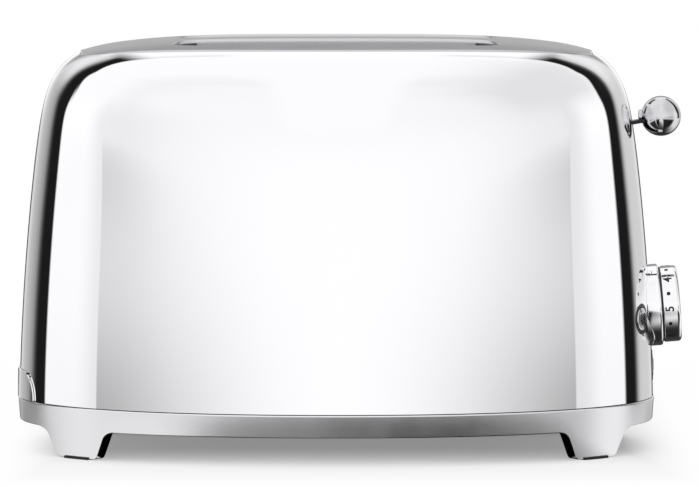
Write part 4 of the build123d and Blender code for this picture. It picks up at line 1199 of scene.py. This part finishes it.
class TOASTER_OT_studio(bpy.types.Operator):
    """Set up the floor, the light and the camera"""

    bl_idname = "toaster.studio"
    bl_label = "Studio"

    def execute(self, context):
        studio = context.scene.toaster_studio
        self.floor(studio.floor_radius)
        self.card()
        self.block()
        self.surroundings(context.scene)
        self.camera(context.scene, studio)
        context.scene.view_settings.view_transform = "Standard"
        return {"FINISHED"}

    def floor(self, radius):
        """A flat pale floor, which the metal doesn't show: it shows the one in the world."""
        piece = add_primitive("Studio_floor", bpy.ops.mesh.primitive_circle_add, vertices=128,
                              radius=radius, fill_type="NGON")
        material = bpy.data.materials.new("Pale_paper_floor")
        add = empty_tree(material)
        # Seamless paper: white and dead matt, with a faint fibre
        place = add("TexCoord").outputs["Object"]
        fibre = add("TexNoise", {"Vector": place, "Scale": FLOOR_FIBRES})
        low, high = [(*linear(code), 1) for code in ("F9F9F9", "FCFCFC")]
        tone = add("Mix", {0: fibre, 6: low, 7: high}, data_type="RGBA")
        matt = add("BsdfDiffuse", {"Color": tone.outputs[2]})
        # Painted light: to the camera it glows too, most of all ahead of the toaster and beside
        # it, which lifts and thins the toaster's shadow there
        x, y, _ = add("SeparateXYZ", [place]).outputs
        painted_light_share = add("ValToRGB", [add("MapRange", (y, *PAINTED_LIGHT_ALONG))], stops=FLOOR_PAINTED_LIGHT)
        away = add("Math", [x], operation="ABSOLUTE")
        beside = add("MapRange", (away, *PAINTED_LIGHT_BESIDE), interpolation_type="SMOOTHSTEP")
        painted_light_share = add("Math", (beside, painted_light_share), operation="MAXIMUM")
        seen = add("LightPath").outputs["Is Camera Ray"]
        share = add("Math", (seen, painted_light_share), operation="MULTIPLY")
        glow = add("Emission", {"Strength": 1.0})
        add("OutputMaterial", [add("MixShader", (share, matt, glow))])
        piece.data.materials.append(material)
        piece.visible_glossy = False

    def card(self):
        """A black card with a soft edge, flat on the floor in front, which only metal shows: a
        painted dark reflection in the ring and the ball.
        """
        centre = at(*CARD_MIDDLE)
        reach = [length * MM for length in CARD_REACH]
        piece = add_primitive("Studio_card", bpy.ops.mesh.primitive_circle_add, vertices=96,
                              radius=1, fill_type="NGON", location=centre, scale=(*reach, 1))
        apply_place()
        material = bpy.data.materials.new("Black_felt_card")
        add = empty_tree(material)
        # Pure black with a feathered edge, a painted dark reflection: it gives back no light
        spread = add("Mapping", {
            "Vector": add("TexCoord").outputs["Object"], "Scale": (1 / reach[0], 1 / reach[1], 1),
            "Location": (-centre.x / reach[0], -centre.y / reach[1], -centre.z)})
        inward = add("TexGradient", [spread], gradient_type="SPHERICAL").outputs["Fac"]
        dense = add("ValToRGB", [inward], stops=CARD_FEATHER)
        black = add("Emission", {"Strength": 0.0})
        both = add("MixShader", (dense, add("BsdfTransparent"), black))
        add("OutputMaterial", [both])
        show_in_metal_only(piece, material)

    def block(self):
        """A black block under the toaster, which only metal shows: painted shade in the
        reflections on the inner sides of the feet.
        """
        turns = 256

        def place(column, row):
            # It keeps inside the ring's outline, so that the shell doesn't show it from above
            point, _ = outline(*RING_OVAL, math.tau * column / turns)
            x, y = (max(-reach, min(reach, value)) for reach, value in zip(BLOCK_REACH, point))
            return at(x, y, BLOCK_TOP if row else BLOCK_FOOT)

        piece = tube("Studio_block", turns, 1, place, ends="NGON")
        material = bpy.data.materials.new("Black_felt_block")
        add = empty_tree(material)
        # Pure black, painted shade in the reflections: it gives back no light
        add("OutputMaterial", [add("Emission", {"Strength": 0.0})])
        show_in_metal_only(piece, material)

    def surroundings(self, scene):
        """White studio walls with two black strips behind, which the shell's corners show, and a
        dim floor."""
        world = bpy.data.worlds.new("Studio")
        scene.world = world
        add = empty_tree(world)
        times = {"operation": "MULTIPLY"}

        def area(*edges):
            """The share of an area with soft edges, each a coordinate, from and to where it
            changes, and the share before and after."""
            share = None
            for edge in edges:
                part = add("MapRange", edge, interpolation_type="SMOOTHSTEP")
                share = add("Math", (share, part), **times) if share is not None else part
            return share

        x, y, z = add("SeparateXYZ", [add("TexCoord").outputs["Generated"]]).outputs
        front = add("Math", (y, -1.0), **times)
        aside = add("Math", [x], operation="ABSOLUTE")
        angle = add("Math", (add("Math", [front], operation="ARCCOSINE"), math.pi),
                    operation="DIVIDE")

        # The strips' front edge bends forwards a little above the horizon, and back near the top
        forwards = area((z, 0.0, 0.3, 0, 5 / 180), (z, 0.35, 0.7, 1, 0),
                        (angle, 112 / 180, 118 / 180, 1, 0))
        backwards = area((z, 0.7, 0.86, 0, 8 / 180))
        bent = add("Math", (add("Math", (angle, forwards), operation="ADD"), backwards),
                   operation="SUBTRACT")

        # A mix of two numbers has its share in socket 0 and the numbers in 2 and 3
        def walls(sides, start, end):
            """The walls' greys, which go over from left to right between start and end."""
            left, right = [add("ValToRGB", [bent], stops=[
                (degrees / 180, grey(level)) for degrees, level in stops]) for stops in sides]
            return add("Mix", {0: area((x, start, end, 0, 1)), 2: left, 3: right})

        level = add("Mix", {0: area((z, 0.1, 0.5, 0, 1)), 2: walls(WALLS_LOW, -0.1, 0.1),
                            3: walls(WALLS_HIGH, 0.0, 0.5)})

        # Over the top the strips stop short of the middle
        bare = area((aside, 0.04, 0.11, 1, 0), (z, 0.25, 0.4, 0, 1))
        level = add("Mix", {0: bare, 2: level, 3: CEILING_STRENGTH})

        # They thin to a line along the rim
        line = area((aside, 0.05, 0.1, 0, 1), (aside, 0.26, 0.34, 1, 0), (z, 0.62, 0.72, 0, 1),
                    (angle, 115 / 180, 117 / 180, 0, 1))
        level = add("Mix", {0: line, 2: level, 3: BLACK_STRENGTH})

        # Straight behind it is dim between a light horizon and a light ceiling
        behind = area((front, -0.5, -0.3, 1, 0), (aside, 0.2, 0.34, 1, 0))
        dim = add("Mix", {0: area((z, 0.5, 0.64, 0, 1)), 2: area((z, 0.07, 0.2, 0.95, 0.3)),
                          3: 1.0})
        dim = add("Math", (dim, area((z, -0.06, -0.01, 0.05, 1.0))), **times)
        level = add("Mix", {0: behind, 2: level, 3: dim})

        # The walls darken downwards at the sides in front
        shade = add("Math", (aside, 1.5), operation="POWER")
        for edge in ((z, -0.095, 0.04, 0.55, 0.0), (front, 0.362, 0.372, 0.12, 1.0)):
            shade = add("Math", (shade, area(edge)), **times)
        kept = add("Math", (1.0, shade), operation="SUBTRACT")
        level = add("Math", (level, kept), **times)

        # The floor that the metal shows: light at the sides, dim behind, dark right under
        azimuth = add("Math", (add("Math", (x, front), operation="ARCTAN2"), 1 / math.tau, 0.5),
                      operation="MULTIPLY_ADD")
        under = add("ValToRGB", [azimuth], stops=[
            ((degrees + 180) / 360, strength) for degrees, strength in FLOOR_ROUND])
        under = add("Mix", {0: area((z, -1.0, -0.55, 1, 0)), 2: under, 3: BLACK_STRENGTH})
        corners = area((aside, 0.12, 0.24, 0, 1), (x, -0.58, -0.38, 0, 1), (front, 0.0, 0.3, 0, 1),
                       (z, -0.36, -0.16, 1, 0))
        under = add("Mix", {0: corners, 2: under, 3: BLACK_STRENGTH})
        level = add("Mix", {0: area((z, -0.2, -0.11, 1, 0)), 2: level, 3: under})

        room = add("Background", (level, ROOM_STRENGTH))
        white = add("Background", ((1, 1, 1, 1), 1.0))
        seen = add("LightPath").outputs["Is Camera Ray"]
        add("OutputWorld", [add("MixShader", (seen, room, white))])

    def camera(self, scene, studio):
        select_nothing()
        bpy.ops.object.camera_add(
            location=(BODY_X * MM, -studio.camera_distance, studio.camera_height),
            rotation=(math.pi / 2 - studio.camera_dip, 0, 0))
        camera = bpy.context.object
        camera.name = "Studio_camera"
        camera.data.sensor_width = CAMERA_SENSOR
        camera.data.lens = CAMERA_LENS
        camera.data.shift_x, camera.data.shift_y = CAMERA_SHIFT
        scene.camera = camera


class TOASTER_PT_pieces(bpy.types.Panel):
    """Lists the toaster's pieces, sizes and colours"""

    bl_idname = "TOASTER_PT_pieces"
    bl_label = "Toaster"
    bl_space_type = "VIEW_3D"
    bl_region_type = "UI"
    bl_category = "Toaster"

    def draw(self, context):
        layout = self.layout
        for group in GROUPS:
            owner = getattr(context.scene, group)
            column = layout.column(align=True)
            for name in owner.__annotations__:
                column.prop(owner, name)
        for step in STEPS:
            layout.operator(step.bl_idname)


STEPS = (TOASTER_OT_studio, TOASTER_OT_finishes, TOASTER_OT_outer_shell, TOASTER_OT_top_panel,
         TOASTER_OT_base_ring, TOASTER_OT_browning_knob, TOASTER_OT_buttons,
         TOASTER_OT_lever_ball, TOASTER_OT_tray_handle)
GROUPS = {"toaster_sizes": ToasterSizes, "toaster_colours": ToasterColours,
          "toaster_studio": ToasterStudio}


def register():
    for group in GROUPS.values():
        bpy.utils.register_class(group)
    for name, group in GROUPS.items():
        setattr(bpy.types.Scene, name, PointerProperty(type=group))
    for step in (*STEPS, TOASTER_PT_pieces):
        bpy.utils.register_class(step)


def unregister():
    for step in reversed((*STEPS, TOASTER_PT_pieces)):
        bpy.utils.unregister_class(step)
    for name, group in reversed(GROUPS.items()):
        delattr(bpy.types.Scene, name)
        bpy.utils.unregister_class(group)


def main():
    register()
    bpy.ops.toaster.studio()
    bpy.ops.toaster.finishes()
    bpy.ops.toaster.outer_shell()
    bpy.ops.toaster.top_panel()
    bpy.ops.toaster.base_ring()
    bpy.ops.toaster.browning_knob()
    bpy.ops.toaster.buttons()
    bpy.ops.toaster.lever_ball()
    bpy.ops.toaster.tray_handle()


if __name__ == "__main__":
    main()
